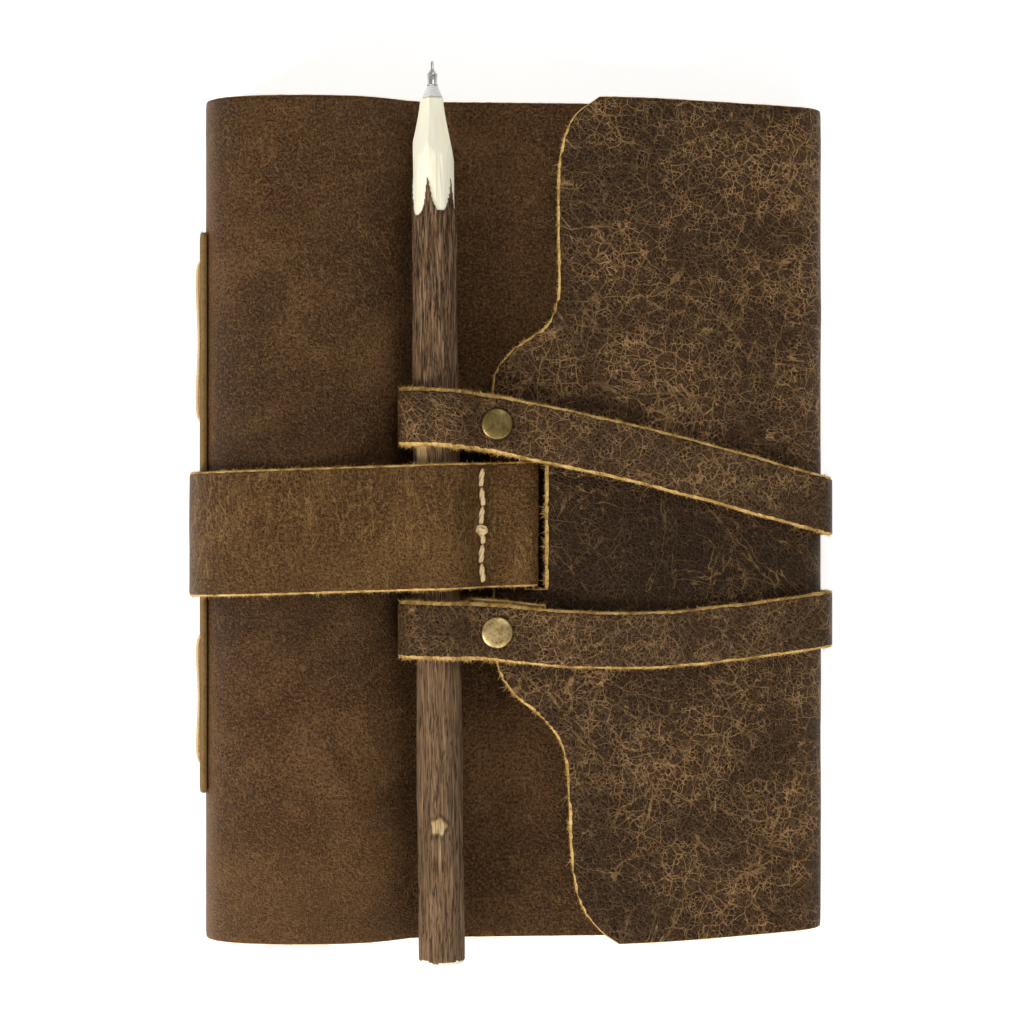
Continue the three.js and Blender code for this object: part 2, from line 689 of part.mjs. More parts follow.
// ---- Pen -----------------------------------------------------------------------------------------
// A twig with its bark on, whittled to a point and drilled for a ballpoint refill.
function addPen() {
  const whittle = 28; // length of the whittled point
  const barrelEnd = penLow + barrelLength;
  const tipRadius = 2.9;
  const place = (geometry) => geometry.rotateZ(penTilt).translate(penX + 0.05, 0, penZ);
  const barrel = new THREE.LatheGeometry(
    [
      new THREE.Vector2(0, penLow),
      new THREE.Vector2(penRadius - 0.7, penLow),
      new THREE.Vector2(penRadius - 0.1, penLow + 0.6),
      new THREE.Vector2(penRadius, barrelEnd - whittle),
      new THREE.Vector2(penRadius - 1.1, barrelEnd - whittle * 0.55),
      new THREE.Vector2(tipRadius, barrelEnd),
      new THREE.Vector2(boreRadius, barrelEnd),
      new THREE.Vector2(boreRadius, barrelEnd - boreDepth),
      new THREE.Vector2(0, barrelEnd - boreDepth),
    ],
    24,
  );
  addPiece("pen_barrel", place(barrel), colours.bark, 0.9);
  const refill = rodAlongY(refillRadius, 0, 0, barrelEnd - boreDepth + 1, barrelEnd - 4, 12);
  addPiece("pen_refill", place(refill), colours.plastic, 0.4);
  const collar = new THREE.LatheGeometry(
    [
      new THREE.Vector2(0, barrelEnd - 3.5),
      new THREE.Vector2(1.55, barrelEnd - 3.5),
      new THREE.Vector2(1.55, barrelEnd + 0.3),
      new THREE.Vector2(2.3, barrelEnd + 0.3),
      new THREE.Vector2(1.35, barrelEnd + 3.0),
      new THREE.Vector2(0, barrelEnd + 3.0),
    ],
    16,
  );
  addPiece("pen_collar", place(collar), colours.plastic, 0.35);
  const tip = new THREE.LatheGeometry(
    [
      new THREE.Vector2(0, barrelEnd + 3.3),
      new THREE.Vector2(1.2, barrelEnd + 3.3),
      new THREE.Vector2(1.2, barrelEnd + 6.4),
      new THREE.Vector2(0.45, barrelEnd + 7.0),
      new THREE.Vector2(0.3, barrelEnd + 9.1),
      new THREE.Vector2(0, barrelEnd + 9.1),
    ],
    12,
  );
  addPiece("pen_tip", place(tip), colours.steel, 0.3, 1);
}

addCoverFront();
addCoverSpine();
addCoverBack();
addCoverForeEdge();
addCoverFlap();
addSpinePatch();
for (let i = 0; i < signatureCount; i++) addSignature(i);
for (let i = 0; i < signatureCount; i++) addBindingThread(i);
addStrapFront();
addStrapThread();
addStrapSpine();
addStrapBack();
addTail("upper");
addTail("lower");
addPen();

export default journal;
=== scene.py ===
"""A handmade leather wrap journal with a forked strap and a twig pen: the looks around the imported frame."""

import math
import random

import bpy
import numpy as np
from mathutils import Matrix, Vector, noise


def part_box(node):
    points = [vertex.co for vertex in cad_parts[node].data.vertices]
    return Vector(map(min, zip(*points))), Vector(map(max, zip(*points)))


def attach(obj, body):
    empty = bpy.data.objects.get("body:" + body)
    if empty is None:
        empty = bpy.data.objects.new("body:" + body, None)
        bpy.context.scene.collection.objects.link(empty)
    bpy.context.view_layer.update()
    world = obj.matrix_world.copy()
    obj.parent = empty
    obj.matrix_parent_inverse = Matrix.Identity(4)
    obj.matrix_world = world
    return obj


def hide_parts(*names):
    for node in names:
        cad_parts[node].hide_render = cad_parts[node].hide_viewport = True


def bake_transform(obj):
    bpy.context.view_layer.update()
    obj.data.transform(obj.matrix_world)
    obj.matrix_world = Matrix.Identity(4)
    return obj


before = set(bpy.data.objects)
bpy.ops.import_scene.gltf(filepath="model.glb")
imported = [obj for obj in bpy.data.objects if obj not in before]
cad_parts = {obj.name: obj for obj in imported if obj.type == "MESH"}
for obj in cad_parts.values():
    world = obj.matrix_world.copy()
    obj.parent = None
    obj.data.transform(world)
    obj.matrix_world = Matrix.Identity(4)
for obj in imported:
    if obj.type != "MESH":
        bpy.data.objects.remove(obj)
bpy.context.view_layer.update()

MM = 0.001  # everything below is worked out in millimetres
UV_UNIT = 100.0  # one unit of a leather's flat coordinates, in millimetres


def node_box(node):
    low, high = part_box(node)
    return [c / MM for c in low], [c / MM for c in high]


# Sizes of the hide and strap, the same values as the frame's.
LEATHER = 2.0
STRAP = 2.0
PATCH = 1.2
GAP = 0.3
front_low, front_high = node_box("cover_front")
COVER_TOP, COVER_LOW = front_high[1], front_low[1]
EDGE_TAPER = 1.3
SIGNATURES = sum(name.startswith("signature_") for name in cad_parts)
BLOCK_THICK, BLOCK_THIN = 17.4, 7.4
PAGE_WIDTH = 143.0
PAGE_HEIGHT = 196.0
PEN_R = 5.9
PEN_X = -18.2
PEN_TILT = 0.0108
RIVET_X = -3.6
RIVET_R = 3.9
STRAP_WIDTH = 30.0
TAIL_WIDTH = 13.5
STITCH_X = -7.3

PEN_SLACK = 1.055  # the loops' inside radius, in radii of the pen
COVER_MIDDLE = LEATHER / 2
STRAP_RISE = STRAP + GAP
BLOCK_BASE = STRAP_RISE + LEATHER + GAP
SPINE_X = -75.5 + LEATHER / 2
FOLD_X = SPINE_X + LEATHER / 2 + 2.5
FORE_X = FOLD_X + PAGE_WIDTH
ON_PAGES = GAP + LEATHER / 2
OVER = STRAP / 2 + LEATHER / 2 + GAP
LAYER = STRAP + GAP


def block_top(x):
    return BLOCK_BASE + BLOCK_THICK + (x - FOLD_X) / PAGE_WIDTH * (BLOCK_THIN - BLOCK_THICK)


UNDER_PEN = block_top(PEN_X) + ON_PAGES + 0.15
LOOP_R = PEN_R * PEN_SLACK + STRAP / 2
PEN_Z = UNDER_PEN + OVER + LOOP_R + 0.05
BULGE = block_top(-51) + 10.6
EDGE_X = FORE_X + 2.9 + LEATHER / 2
EDGE_HIGH = block_top(FORE_X) + ON_PAGES + OVER
FLAP_FREE = EDGE_HIGH + 11.6
BAR_Z = FLAP_FREE - 0.6
SLOT_X = 5.3
STRAP_X = SPINE_X - LEATHER / 2 - GAP - PATCH - 0.5 - STRAP / 2
TAIL_X = EDGE_X + LEATHER / 2 + 0.6 + STRAP / 2
LOOP_LOW = FLAP_FREE - 0.9 + OVER + 1.0
LOOP_HIGH = LOOP_LOW + LAYER


def smooth(t):
    t = min(1.0, max(0.0, t))
    return t * t * (3 - 2 * t)


# Routes in the XZ plane.
def on_block(x):
    return (x, block_top(x) + ON_PAGES)


COVER_LEFT = [
    (FORE_X + 0.5, block_top(FORE_X) + ON_PAGES + 0.3),
    on_block(FORE_X - 22),
    on_block(20),
    on_block(-4),
    (PEN_X, UNDER_PEN),
    (PEN_X - 6.5, UNDER_PEN + 1.5),
    (-31, BULGE - 5.2),
    (-37, BULGE - 2.0),
    (-44, BULGE - 0.5),
    (-51, BULGE),
    (-58, BULGE - 0.4),
    (-64.5, BULGE - 1.9),
    (SPINE_X + 4.5, BULGE - 4.7),
    (SPINE_X + 1.2, BULGE - 8.9),
    (SPINE_X, BULGE - 14),
    (SPINE_X, 9),
    (SPINE_X + 0.4, 4.6),
    (SPINE_X + 1.8, COVER_MIDDLE + 1),
    (SPINE_X + 4.2, COVER_MIDDLE + 0.1),
    (SPINE_X + 9, COVER_MIDDLE),
]
FLAP_FLAT = 23.0
FLAP_RISE = [(0.81, 2.3), (0.62, 4.3), (0.43, 6.8), (0.23, 9.6)]  # share of the way, height


def on_flap(share):
    return FLAP_FLAT + (EDGE_X - FLAP_FLAT) * share


COVER_RIGHT = [
    (EDGE_X - 8, COVER_MIDDLE),
    (EDGE_X - 3.6, COVER_MIDDLE + 0.3),
    (EDGE_X - 0.9, COVER_MIDDLE + 2.6),
    (EDGE_X, COVER_MIDDLE + 6),
    (EDGE_X, EDGE_HIGH - 5.4),
    (EDGE_X - 0.8, EDGE_HIGH - 1.6),
    (EDGE_X - 3.7, EDGE_HIGH + 0.8),
    *((on_flap(share), EDGE_HIGH + rise) for share, rise in FLAP_RISE),
    (FLAP_FLAT, FLAP_FREE),
    (12, FLAP_FREE),
    (4, FLAP_FREE - 0.6),
    (-7, FLAP_FREE - 1.5),
]
STRAP_ROUTE = [
    (STITCH_X - 3.3, BAR_Z - OVER - 1.0),
    (STITCH_X, BAR_Z - OVER - 0.6),
    (-3.5, BAR_Z - OVER - 0.4),
    (SLOT_X - 2.6, BAR_Z - OVER - 0.1),
    (SLOT_X - 0.4, BAR_Z - OVER + 0.9),
    (SLOT_X + 0.2, BAR_Z + 0.2),
    (SLOT_X - 0.4, BAR_Z + OVER - 0.6),
    (SLOT_X - 2.6, BAR_Z + OVER + 0.4),
    (-3.5, BAR_Z + OVER + 0.1),
    (STITCH_X, BAR_Z + OVER + 0.5),
    (STITCH_X - 1.5, BAR_Z + OVER + 1.4),
    (STITCH_X - 3.2, PEN_Z + LOOP_R * 0.47),
    (PEN_X + LOOP_R * 0.69, PEN_Z + LOOP_R * 0.82),
    (PEN_X, PEN_Z + LOOP_R + 0.1),
    (PEN_X - LOOP_R * 0.78, PEN_Z + LOOP_R * 0.79),
    (PEN_X - 12.5, BULGE + OVER + 0.7),
    (-41, BULGE + OVER + 0.1),
    (-51, BULGE + OVER + 0.1),
    (-58.5, BULGE + OVER - 0.3),
    (-65.5, BULGE + OVER - 1.5),
    (STRAP_X + 6.5, BULGE - 2.0),
    (STRAP_X + 2.1, BULGE - 6.5),
    (STRAP_X + 0.1, BULGE - 12.4),
    (STRAP_X, 13),
    (STRAP_X + 0.1, 7),
    (STRAP_X + 1.5, STRAP / 2 + 2),
    (STRAP_X + 5, STRAP / 2 + 0.2),
    (STRAP_X + 10.5, STRAP / 2),
]
# round the pen: across and up from its middle, in loop radii
PEN_LOOP = [
    (0.72, 0.86), (0, 1.03), (-0.82, 0.74), (-1.17, 0), (-0.78, -0.74), (0, -1), (0.75, -0.79),
    (1.03, -0.5), (1.24, -0.17),
]
TAIL_ROUTE = [
    (TAIL_X - 10.5, STRAP / 2),
    (TAIL_X - 5, STRAP / 2 + 0.2),
    (TAIL_X - 1.4, STRAP / 2 + 2),
    (TAIL_X, 7),
    (TAIL_X, EDGE_HIGH - 2.8),
    (TAIL_X - 1.3, EDGE_HIGH + 1.6),
    (TAIL_X - 5.6, EDGE_HIGH + 3.6),
    *((on_flap(share), EDGE_HIGH + rise + OVER + air)
      for (share, rise), air in zip(FLAP_RISE, (0.5, 0.4, 0.4, 0.5))),
    (FLAP_FLAT, FLAP_FREE + OVER + 0.8),
    (12, LOOP_HIGH - 0.2),
    (4, LOOP_HIGH),
    (RIVET_X, LOOP_HIGH),
    (RIVET_X - 4.4, LOOP_HIGH + 0.1),
    (RIVET_X - 6.8, LOOP_HIGH + 1.4),
    *((PEN_X + a * LOOP_R, PEN_Z + b * LOOP_R) for a, b in PEN_LOOP),
    (RIVET_X - 3.9, LOOP_LOW),
    (4, LOOP_LOW),
    (8, LOOP_LOW),
]


STRETCH = 14  # samples between two points of a route


def spline(points, per=STRETCH):
    """A centripetal Catmull-Rom curve through points, as the frame's pieces follow."""
    pts = np.array(points, float)
    pts = np.vstack([2 * pts[0] - pts[1], pts, 2 * pts[-1] - pts[-2]])
    out = []
    for i in range(1, len(pts) - 2):
        p0, p1, p2, p3 = pts[i - 1 : i + 3]
        ends = ((p0, p1), (p1, p2), (p2, p3))
        d0, d1, d2 = (max(1e-6, np.linalg.norm(b - a)) ** 0.5 for a, b in ends)
        t1 = ((p1 - p0) / d0 - (p2 - p0) / (d0 + d1) + (p2 - p1) / d1) * d1
        t2 = ((p2 - p1) / d1 - (p3 - p1) / (d1 + d2) + (p3 - p2) / d2) * d1
        for k in range(per):
            t = k / per
            c2 = -3 * p1 + 3 * p2 - 2 * t1 - t2
            c3 = 2 * p1 - 2 * p2 + t1 + t2
            out.append(p1 + t1 * t + c2 * t * t + c3 * t**3)
    out.append(pts[-2])
    return np.array(out)


class Route:
    """A resampled route: places, outward normals and lengths along it."""

    def __init__(self, points, step, outward=1, start=None, end=None):
        fine = spline(points)
        run = np.concatenate([[0], np.cumsum(np.linalg.norm(np.diff(fine, axis=0), axis=1))])
        first = 0.0 if start is None else run[start * STRETCH]
        last = run[-1] if end is None else run[end * STRETCH]
        count = max(4, int(round((last - first) / step)))
        self.s = np.linspace(first, last, count + 1)
        place = lambda s: np.column_stack([np.interp(s, run, fine[:, k]) for k in (0, 1)])
        self.p = place(self.s)
        along = place(self.s + 0.3) - place(self.s - 0.3)
        along /= np.linalg.norm(along, axis=1)[:, None]
        self.n = np.column_stack([-along[:, 1], along[:, 0]]) * outward


# Materials.
class Nodes:
    """A material's node tree, built by short calls."""

    def __init__(self, name):
        self.material = bpy.data.materials.new(name)
        self.material.use_nodes = True
        self.tree = self.material.node_tree
        self.tree.nodes.clear()
        self.out = self.add("ShaderNodeOutputMaterial")
        self.shader = self.add("ShaderNodeBsdfPrincipled")
        self.join(self.shader.outputs[0], self.out.inputs[0])

    def add(self, kind, **values):
        node = self.tree.nodes.new(kind)
        for key, value in values.items():
            setattr(node, key, value)
        return node

    def join(self, source, target):
        self.tree.links.new(source, target)

    def feed(self, socket, value):
        if hasattr(value, "is_output"):
            self.join(value, socket)
        elif value is not None:
            socket.default_value = value

    def uv(self):
        return self.add("ShaderNodeTexCoord").outputs["UV"]

    def place(self):
        return self.add("ShaderNodeTexCoord").outputs["Object"]

    def attribute(self, name):
        return self.add("ShaderNodeAttribute", attribute_name=name, attribute_type="GEOMETRY").outputs["Fac"]

    def textured(self, kind, vector, settings, **values):
        """A node that reads vector, with its numeric inputs set by name."""
        node = self.add(kind, **values)
        self.join(vector, node.inputs["Vector"])
        for key, number in settings.items():
            node.inputs[key].default_value = number
        return node

    def mapping(self, vector, scale=(1, 1, 1), turn=0.0, shift=(0, 0, 0)):
        settings = {"Scale": scale, "Rotation": (0, 0, turn), "Location": shift}
        return self.textured("ShaderNodeMapping", vector, settings).outputs[0]

    def noise(self, vector, scale, detail=3.0, rough=0.55, distortion=0.0):
        settings = {"Scale": scale, "Detail": detail, "Roughness": rough, "Distortion": distortion}
        return self.textured("ShaderNodeTexNoise", vector, settings).outputs["Fac"]

    def cells(self, vector, scale):
        """The distance to the nearest edge between scattered cells."""
        node = self.textured("ShaderNodeTexVoronoi", vector, {"Scale": scale}, feature="DISTANCE_TO_EDGE")
        return node.outputs["Distance"]

    def warped(self, vector, scale, amount):
        node = self.textured("ShaderNodeTexNoise", vector, {"Scale": scale, "Detail": 2.0})
        centred = self.vector_math("SUBTRACT", node.outputs["Color"], (0.5, 0.5, 0.5))
        scaled = self.add("ShaderNodeVectorMath", operation="SCALE")
        self.join(centred, scaled.inputs[0])
        scaled.inputs["Scale"].default_value = amount
        return self.vector_math("ADD", vector, scaled.outputs[0])

    def vector_math(self, operation, a, b):
        node = self.add("ShaderNodeVectorMath", operation=operation)
        self.feed(node.inputs[0], a)
        self.feed(node.inputs[1], b)
        return node.outputs[0]

    def math(self, operation, a, b=None):
        node = self.add("ShaderNodeMath", operation=operation)
        self.feed(node.inputs[0], a)
        self.feed(node.inputs[1], b)
        return node.outputs[0]

    def plus(self, a, b):
        return self.math("ADD", a, b)

    def less(self, a, b):
        return self.math("SUBTRACT", a, b)

    def times(self, a, b):
        return self.math("MULTIPLY", a, b)

    def most(self, a, b):
        return self.math("MAXIMUM", a, b)

    def span(self, value, low, high, to_low=0.0, to_high=1.0):
        node = self.add("ShaderNodeMapRange")
        self.feed(node.inputs["Value"], value)
        for key, number in (("From Min", low), ("From Max", high), ("To Min", to_low), ("To Max", to_high)):
            node.inputs[key].default_value = number
        return node.outputs[0]

    def mix(self, fac, a, b):
        node = self.add("ShaderNodeMix", data_type="RGBA")
        self.feed(node.inputs[0], fac)
        self.feed(node.inputs[6], (*a, 1) if isinstance(a, tuple) else a)
        self.feed(node.inputs[7], (*b, 1) if isinstance(b, tuple) else b)
        return node.outputs[2]

    def bump(self, height, distance, strength):
        node = self.add("ShaderNodeBump")
        self.feed(node.inputs["Height"], height)
        node.inputs["Distance"].default_value = distance
        node.inputs["Strength"].default_value = strength
        return node.outputs[0]

    def surface(self, colour, roughness, normal=None, metallic=0.0, specular=0.5):
        base = (*colour, 1) if isinstance(colour, tuple) else colour
        self.feed(self.shader.inputs["Base Color"], base)
        self.feed(self.shader.inputs["Roughness"], roughness)
        self.shader.inputs["Metallic"].default_value = metallic
        self.shader.inputs["Specular IOR Level"].default_value = specular
        if normal is not None:
            self.join(normal, self.shader.inputs["Normal"])
        return self.material


def shade(colour, share):
    return tuple(c * share for c in colour)


def leather_material(name, tones, cell, shares, wrinkle, seed):
    """Pull-up leather. Dark cells between pale veins, long creases where it was bent, and warm patches of
    wear.

    tones are dark, middle, light and vein; cell is how many cells lie along 100 mm; shares are how much
    the veins, the finest veins and the creases show."""
    dark, middle, light, vein = tones
    net_share, micro_share, crease_share = shares
    m = Nodes(name)
    # tone paints light into the colour: paler where painted light and sheen fall, darker in painted shade
    tone = m.attribute("tone")
    flat = m.mapping(m.uv(), shift=(seed, seed * 0.7, 0))
    broad = m.noise(flat, 1.7, 4, 0.6)
    patches = m.noise(flat, 5.0, 4, 0.62, 0.5)
    bent = m.warped(m.warped(flat, 8, 0.045), 70, 0.0065)
    net = m.cells(bent, cell)
    wide = m.cells(m.warped(flat, 40, 0.010), cell * 0.3)
    fine = m.cells(m.warped(flat, 160, 0.003), cell * 1.9)
    # real patches of wear, shifted by the painted light and painted shade of tone
    wear_and_painted_light = m.span(m.plus(patches, m.times(tone, 0.16)), 0.40, 0.60)
    strength = m.span(m.noise(flat, 30, 3, 0.7), 0.44, 0.60, 0.10, 1.0)
    net_lines = m.times(m.span(net, 0.028, 0.082, 1.0, 0.0), strength)
    net_lines = m.times(net_lines, m.span(wear_and_painted_light, 0, 1, 0.32, 1.0))
    wide_lines = m.times(m.span(wide, 0.004, 0.028, 1.0, 0.0), m.span(wear_and_painted_light, 0, 1, 0.3, 1.0))
    micro = m.times(m.span(fine, 0.03, 0.12, 1.0, 0.0), m.span(strength, 0.22, 1.0, 1.0, 0.4))
    creases = None
    for turn, stretch, scale, shift in wrinkle:
        turned_flat = m.mapping(m.mapping(bent, turn=turn), (1, stretch, 1), shift=(shift, shift, 0))
        ridge = m.math("ABSOLUTE", m.less(m.noise(turned_flat, scale, 3, 0.5), 0.5))
        where = m.span(m.noise(m.mapping(flat, shift=(shift, 2, 0)), 3.3, 3), 0.42, 0.60)
        line = m.times(m.span(ridge, 0.0001 * scale, 0.00055 * scale, 1.0, 0.0), where)
        creases = line if creases is None else m.most(creases, line)
    lines = m.most(net_lines, m.times(wide_lines, 0.9))
    pale = m.most(m.times(lines, net_share), m.times(creases, crease_share))
    pale = m.most(pale, m.times(micro, micro_share))
    base = m.mix(m.span(broad, 0.32, 0.66), dark, middle)
    base = m.mix(m.span(patches, 0.48, 0.70, 0, 0.55), base, light)
    base = m.mix(m.span(patches, 0.48, 0.30, 0, 0.55), base, shade(dark, 0.7))
    grain = m.noise(flat, 135, 3, 0.7)
    base = m.mix(m.span(grain, 0.51, 0.62, 0, 0.68), base, light)
    base = m.mix(m.span(grain, 0.51, 0.40, 0, 0.95), base, shade(dark, 0.45))
    # painted light and painted shade from tone; the veins fade in the painted shade
    base = m.mix(m.span(tone, 0, 1, 0, 0.62), base, light)
    base = m.mix(m.span(tone, 0, -1, 0, 0.9), base, shade(dark, 0.6))
    pale = m.times(pale, m.span(tone, -1, 0, 0.45, 1.0))
    colour = m.mix(pale, base, vein)
    rough = m.span(broad, 0.3, 0.7, 0.46, 0.58)
    cushions = m.times(m.span(net, 0, 0.3), 0.7)
    height = m.plus(cushions, m.times(m.span(fine, 0, 0.35), 0.5))
    height = m.less(height, m.times(creases, 0.6))
    height = m.plus(height, m.times(grain, 0.5))
    m.shader.inputs["Specular Tint"].default_value = (1.0, 0.86, 0.72, 1)
    return m.surface(colour, rough, m.bump(height, 0.00026, 1.0), specular=0.15)


def raw_edge_material():
    """The golden, fibrous side of cut leather."""
    m = Nodes("leather_cut_edge")
    flat = m.uv()
    fibre = m.noise(flat, 210, 4, 0.75)
    broad = m.noise(flat, 26, 3, 0.6)
    colour = m.mix(m.span(fibre, 0.34, 0.66), (0.240, 0.120, 0.028), (0.93, 0.58, 0.17))
    colour = m.mix(m.span(broad, 0.48, 0.68, 0, 0.5), colour, (0.97, 0.72, 0.34))
    colour = m.mix(m.span(broad, 0.48, 0.34, 0, 0.6), colour, (0.12, 0.065, 0.020))
    return m.surface(colour, 0.9, m.bump(fibre, 0.0003, 1.0), specular=0.15)


def flesh_material():
    """The suede side of the hide."""
    m = Nodes("leather_flesh_side")
    flat = m.uv()
    nap = m.noise(flat, 120, 5, 0.75)
    broad = m.noise(flat, 6, 3)
    colour = m.mix(m.span(nap, 0.3, 0.75), (0.11, 0.060, 0.018), (0.30, 0.185, 0.068))
    colour = m.mix(m.span(broad, 0.4, 0.7, 0, 0.4), colour, (0.16, 0.088, 0.030))
    return m.surface(colour, 0.95, m.bump(nap, 0.00025, 0.7), specular=0.15)


COVER_TONES = ((0.021, 0.0066, 0.0013), (0.062, 0.0235, 0.0062), (0.160, 0.077, 0.029), (0.290, 0.157, 0.060))
FLAP_TONES = ((0.010, 0.0030, 0.0007), (0.025, 0.0092, 0.0028), (0.076, 0.033, 0.0120), (0.500, 0.290, 0.122))
STRAP_TONES = ((0.032, 0.0106, 0.0020), (0.080, 0.0318, 0.0080), (0.180, 0.087, 0.028), (0.430, 0.245, 0.085))
TAIL_TONES = ((0.013, 0.0040, 0.0010), (0.033, 0.0128, 0.0040), (0.098, 0.045, 0.017), (0.520, 0.305, 0.130))
# turn, stretch, scale and shift of each family of creases
COVER_CREASES = ((0.5, 0.25, 16, 3.0), (-0.7, 0.3, 18, 8.0))
FLAP_CREASES = ((0.75, 0.16, 15, 3.0), (-0.25, 0.13, 13, 9.0), (1.45, 0.2, 14, 17.0))
STRAP_CREASES = (
    (0.10, 0.11, 34, 5.0), (-0.55, 0.14, 38, 11.0), (0.30, 0.18, 26, 19.0), (0.02, 0.13, 44, 31.0),
)
TAIL_CREASES = ((0.9, 0.22, 26, 5.0), (-0.5, 0.25, 22, 13.0))
LEATHERS = {
    "cover": leather_material("cover_leather", COVER_TONES, 120, (0.50, 0.30, 0.45), COVER_CREASES, 1.3),
    "flap": leather_material("flap_leather", FLAP_TONES, 86, (0.70, 0.10, 0.55), FLAP_CREASES, 4.1),
    "strap": leather_material("strap_leather", STRAP_TONES, 118, (0.34, 0.22, 0.42), STRAP_CREASES, 8.6),
    "tail": leather_material("tail_leather", TAIL_TONES, 92, (0.66, 0.12, 0.45), TAIL_CREASES, 12.2),
}
CUT_EDGE = raw_edge_material()
FLESH = flesh_material()


# Leather sheets.
def mesh_object(name, verts, faces, uvs, mats, kinds=None, soft=True):
    """A mesh from millimetre points, with per-corner flat coordinates taken from its vertices.

    kinds says which of mats each face has, or is left out where there is only one."""
    mesh = bpy.data.meshes.new(name)
    mesh.from_pydata([tuple(c * MM for c in v) for v in verts], [], faces)
    layer = mesh.uv_layers.new(name="UVMap")
    loops = np.zeros(len(mesh.loops), int)
    mesh.loops.foreach_get("vertex_index", loops)
    flat = np.array(uvs, float)[loops] / UV_UNIT
    layer.data.foreach_set("uv", flat.ravel())
    for material in mats:
        mesh.materials.append(material)
    mesh.polygons.foreach_set("material_index", kinds or [0] * len(faces))
    mesh.polygons.foreach_set("use_smooth", [soft] * len(faces))
    mesh.validate()
    obj = bpy.data.objects.new(name, mesh)
    bpy.context.scene.collection.objects.link(obj)
    return obj


def unit_rows(a):
    return a / np.maximum(1e-9, np.linalg.norm(a, axis=1))[:, None]


def thick_leather(name, verts, normals, uvs, faces, thickness, leather, seam=None, fuzz=9.0, bevel=0.5,
                  show=None, seed=1, tone=None):
    """A hide of real thickness from its middle surface. Cut edges are bevelled, uneven and fibrous.

    seam(point) says where the edge is only the join to the next piece of the same hide, and show(point)
    how much of the bevel and its fibres an edge has. tone(point) is above 0 where the leather is painted
    paler, as painted light and sheen, and below 0 where it is painted darker, as painted shade."""
    rng = random.Random(seed)
    verts, normals, uvs = np.array(verts, float), unit_rows(np.array(normals, float)), np.array(uvs, float)
    used = {}
    for face in faces:
        for a, b in zip(face, face[1:] + face[:1]):
            used[(a, b)] = used.get((a, b), 0) + 1
    rim = [(a, b) for (a, b) in used if (b, a) not in used]
    after = {a: b for a, b in rim}
    before = {b: a for a, b in rim}
    outward = np.zeros_like(verts)
    for v in after:
        tangent = verts[after[v]] - verts[before.get(v, v)]
        outward[v] = np.cross(tangent, normals[v])
    outward = unit_rows(outward)
    joined = {v: bool(seam and seam(verts[v])) for v in after}
    shown = {v: show(verts[v]) if show else 1.0 for v in after}
    count = len(verts)
    half = thickness / 2
    top, low = verts + normals * half, verts - normals * half
    wave = {}
    for v in after:
        p = Vector(verts[v])
        wave[v] = 0.5 + 0.5 * noise.noise(p * 0.9) + 0.35 * noise.noise(p * 3.1)
        if not joined[v]:
            top[v] -= outward[v] * (bevel * shown[v] * (0.4 + 0.8 * wave[v])) + normals[v] * 0.12
            low[v] -= outward[v] * 0.15
    rim_ids = {}
    points = [*top, *low]
    flats = [*uvs, *uvs]
    for v in after:
        if joined[v]:
            upper, under = verts[v] + normals[v] * half * 0.4, verts[v] - normals[v] * half * 0.4
        else:
            upper = verts[v] + normals[v] * half * 0.62 + outward[v] * (0.02 + 0.16 * wave[v])
            under = verts[v] - normals[v] * half * 0.55 + outward[v] * (0.06 + 0.2 * wave[v])
        rim_ids[v] = (len(points), len(points) + 1)
        points += [upper, under]
        flats += [uvs[v] + (0.35, 0.2), uvs[v] + (0.8, 0.5)]
    solid = [tuple(f) for f in faces] + [tuple(i + count for i in reversed(f)) for f in faces]
    kinds = [0] * len(faces) + [1] * len(faces)
    for a, b in rim:
        if a not in rim_ids or b not in rim_ids:
            continue
        ua, la = rim_ids[a]
        ub, lb = rim_ids[b]
        solid += [(b, a, ua, ub), (ub, ua, la, lb), (lb, la, a + count, b + count)]
        kinds += [2, 2, 2]
    # loose fibres along the cut edges, each a sliver with its root inside the leather
    for a, b in rim:
        if joined[a] and joined[b]:
            continue
        length = float(np.linalg.norm(verts[b] - verts[a]))
        wanted = fuzz * length * min(1.0, 0.25 + shown[a])
        strands = int(wanted) + (rng.random() < wanted - int(wanted))
        for _ in range(strands):
            t = rng.random()
            n = normals[a]
            o = outward[a] * (1 - t) + outward[b] * t
            along = (verts[b] - verts[a]) / max(1e-9, length)
            root = verts[a] * (1 - t) + verts[b] * t + n * half * rng.uniform(-0.7, 0.75) - o * 0.12
            coarse, fine = (max(0.0, noise.noise(Vector(root) * size)) for size in (0.8, 2.7))
            tuft = 0.6 + 1.9 * (coarse + 0.5 * fine)
            reach = (0.3 + 0.7 * shown[a]) * tuft * rng.uniform(0.25, 0.85)
            reach *= 1.9 if rng.random() < 0.07 else 1.0
            tip = root + (o * 0.8 + n * rng.uniform(-0.3, 0.7) + along * rng.uniform(-1.0, 1.0)) * reach
            thin = rng.uniform(0.04, 0.10)
            k = len(points)
            points += [root + along * thin, root - along * thin, root + n * thin, tip]
            flats += [uvs[a] + (rng.random(), rng.random())] * 4
            solid += [(k, k + 1, k + 3), (k + 1, k + 2, k + 3), (k + 2, k, k + 3), (k + 1, k, k + 2)]
            kinds += [2, 2, 2, 2]
    hide = mesh_object(name, points, solid, flats, [LEATHERS[leather], FLESH, CUT_EDGE], kinds)
    # tone carries painted light and painted shade into the leather's colour
    if tone:
        tones = [tone(p) for p in points]
        hide.data.attributes.new("tone", "FLOAT", "POINT").data.foreach_set("value", tones)
    return hide


def grid_faces(columns, rows):
    faces = []
    for i in range(columns - 1):
        for j in range(rows - 1):
            a = i * rows + j
            faces.append((a, a + 1, a + rows + 1, a + rows))
    return faces


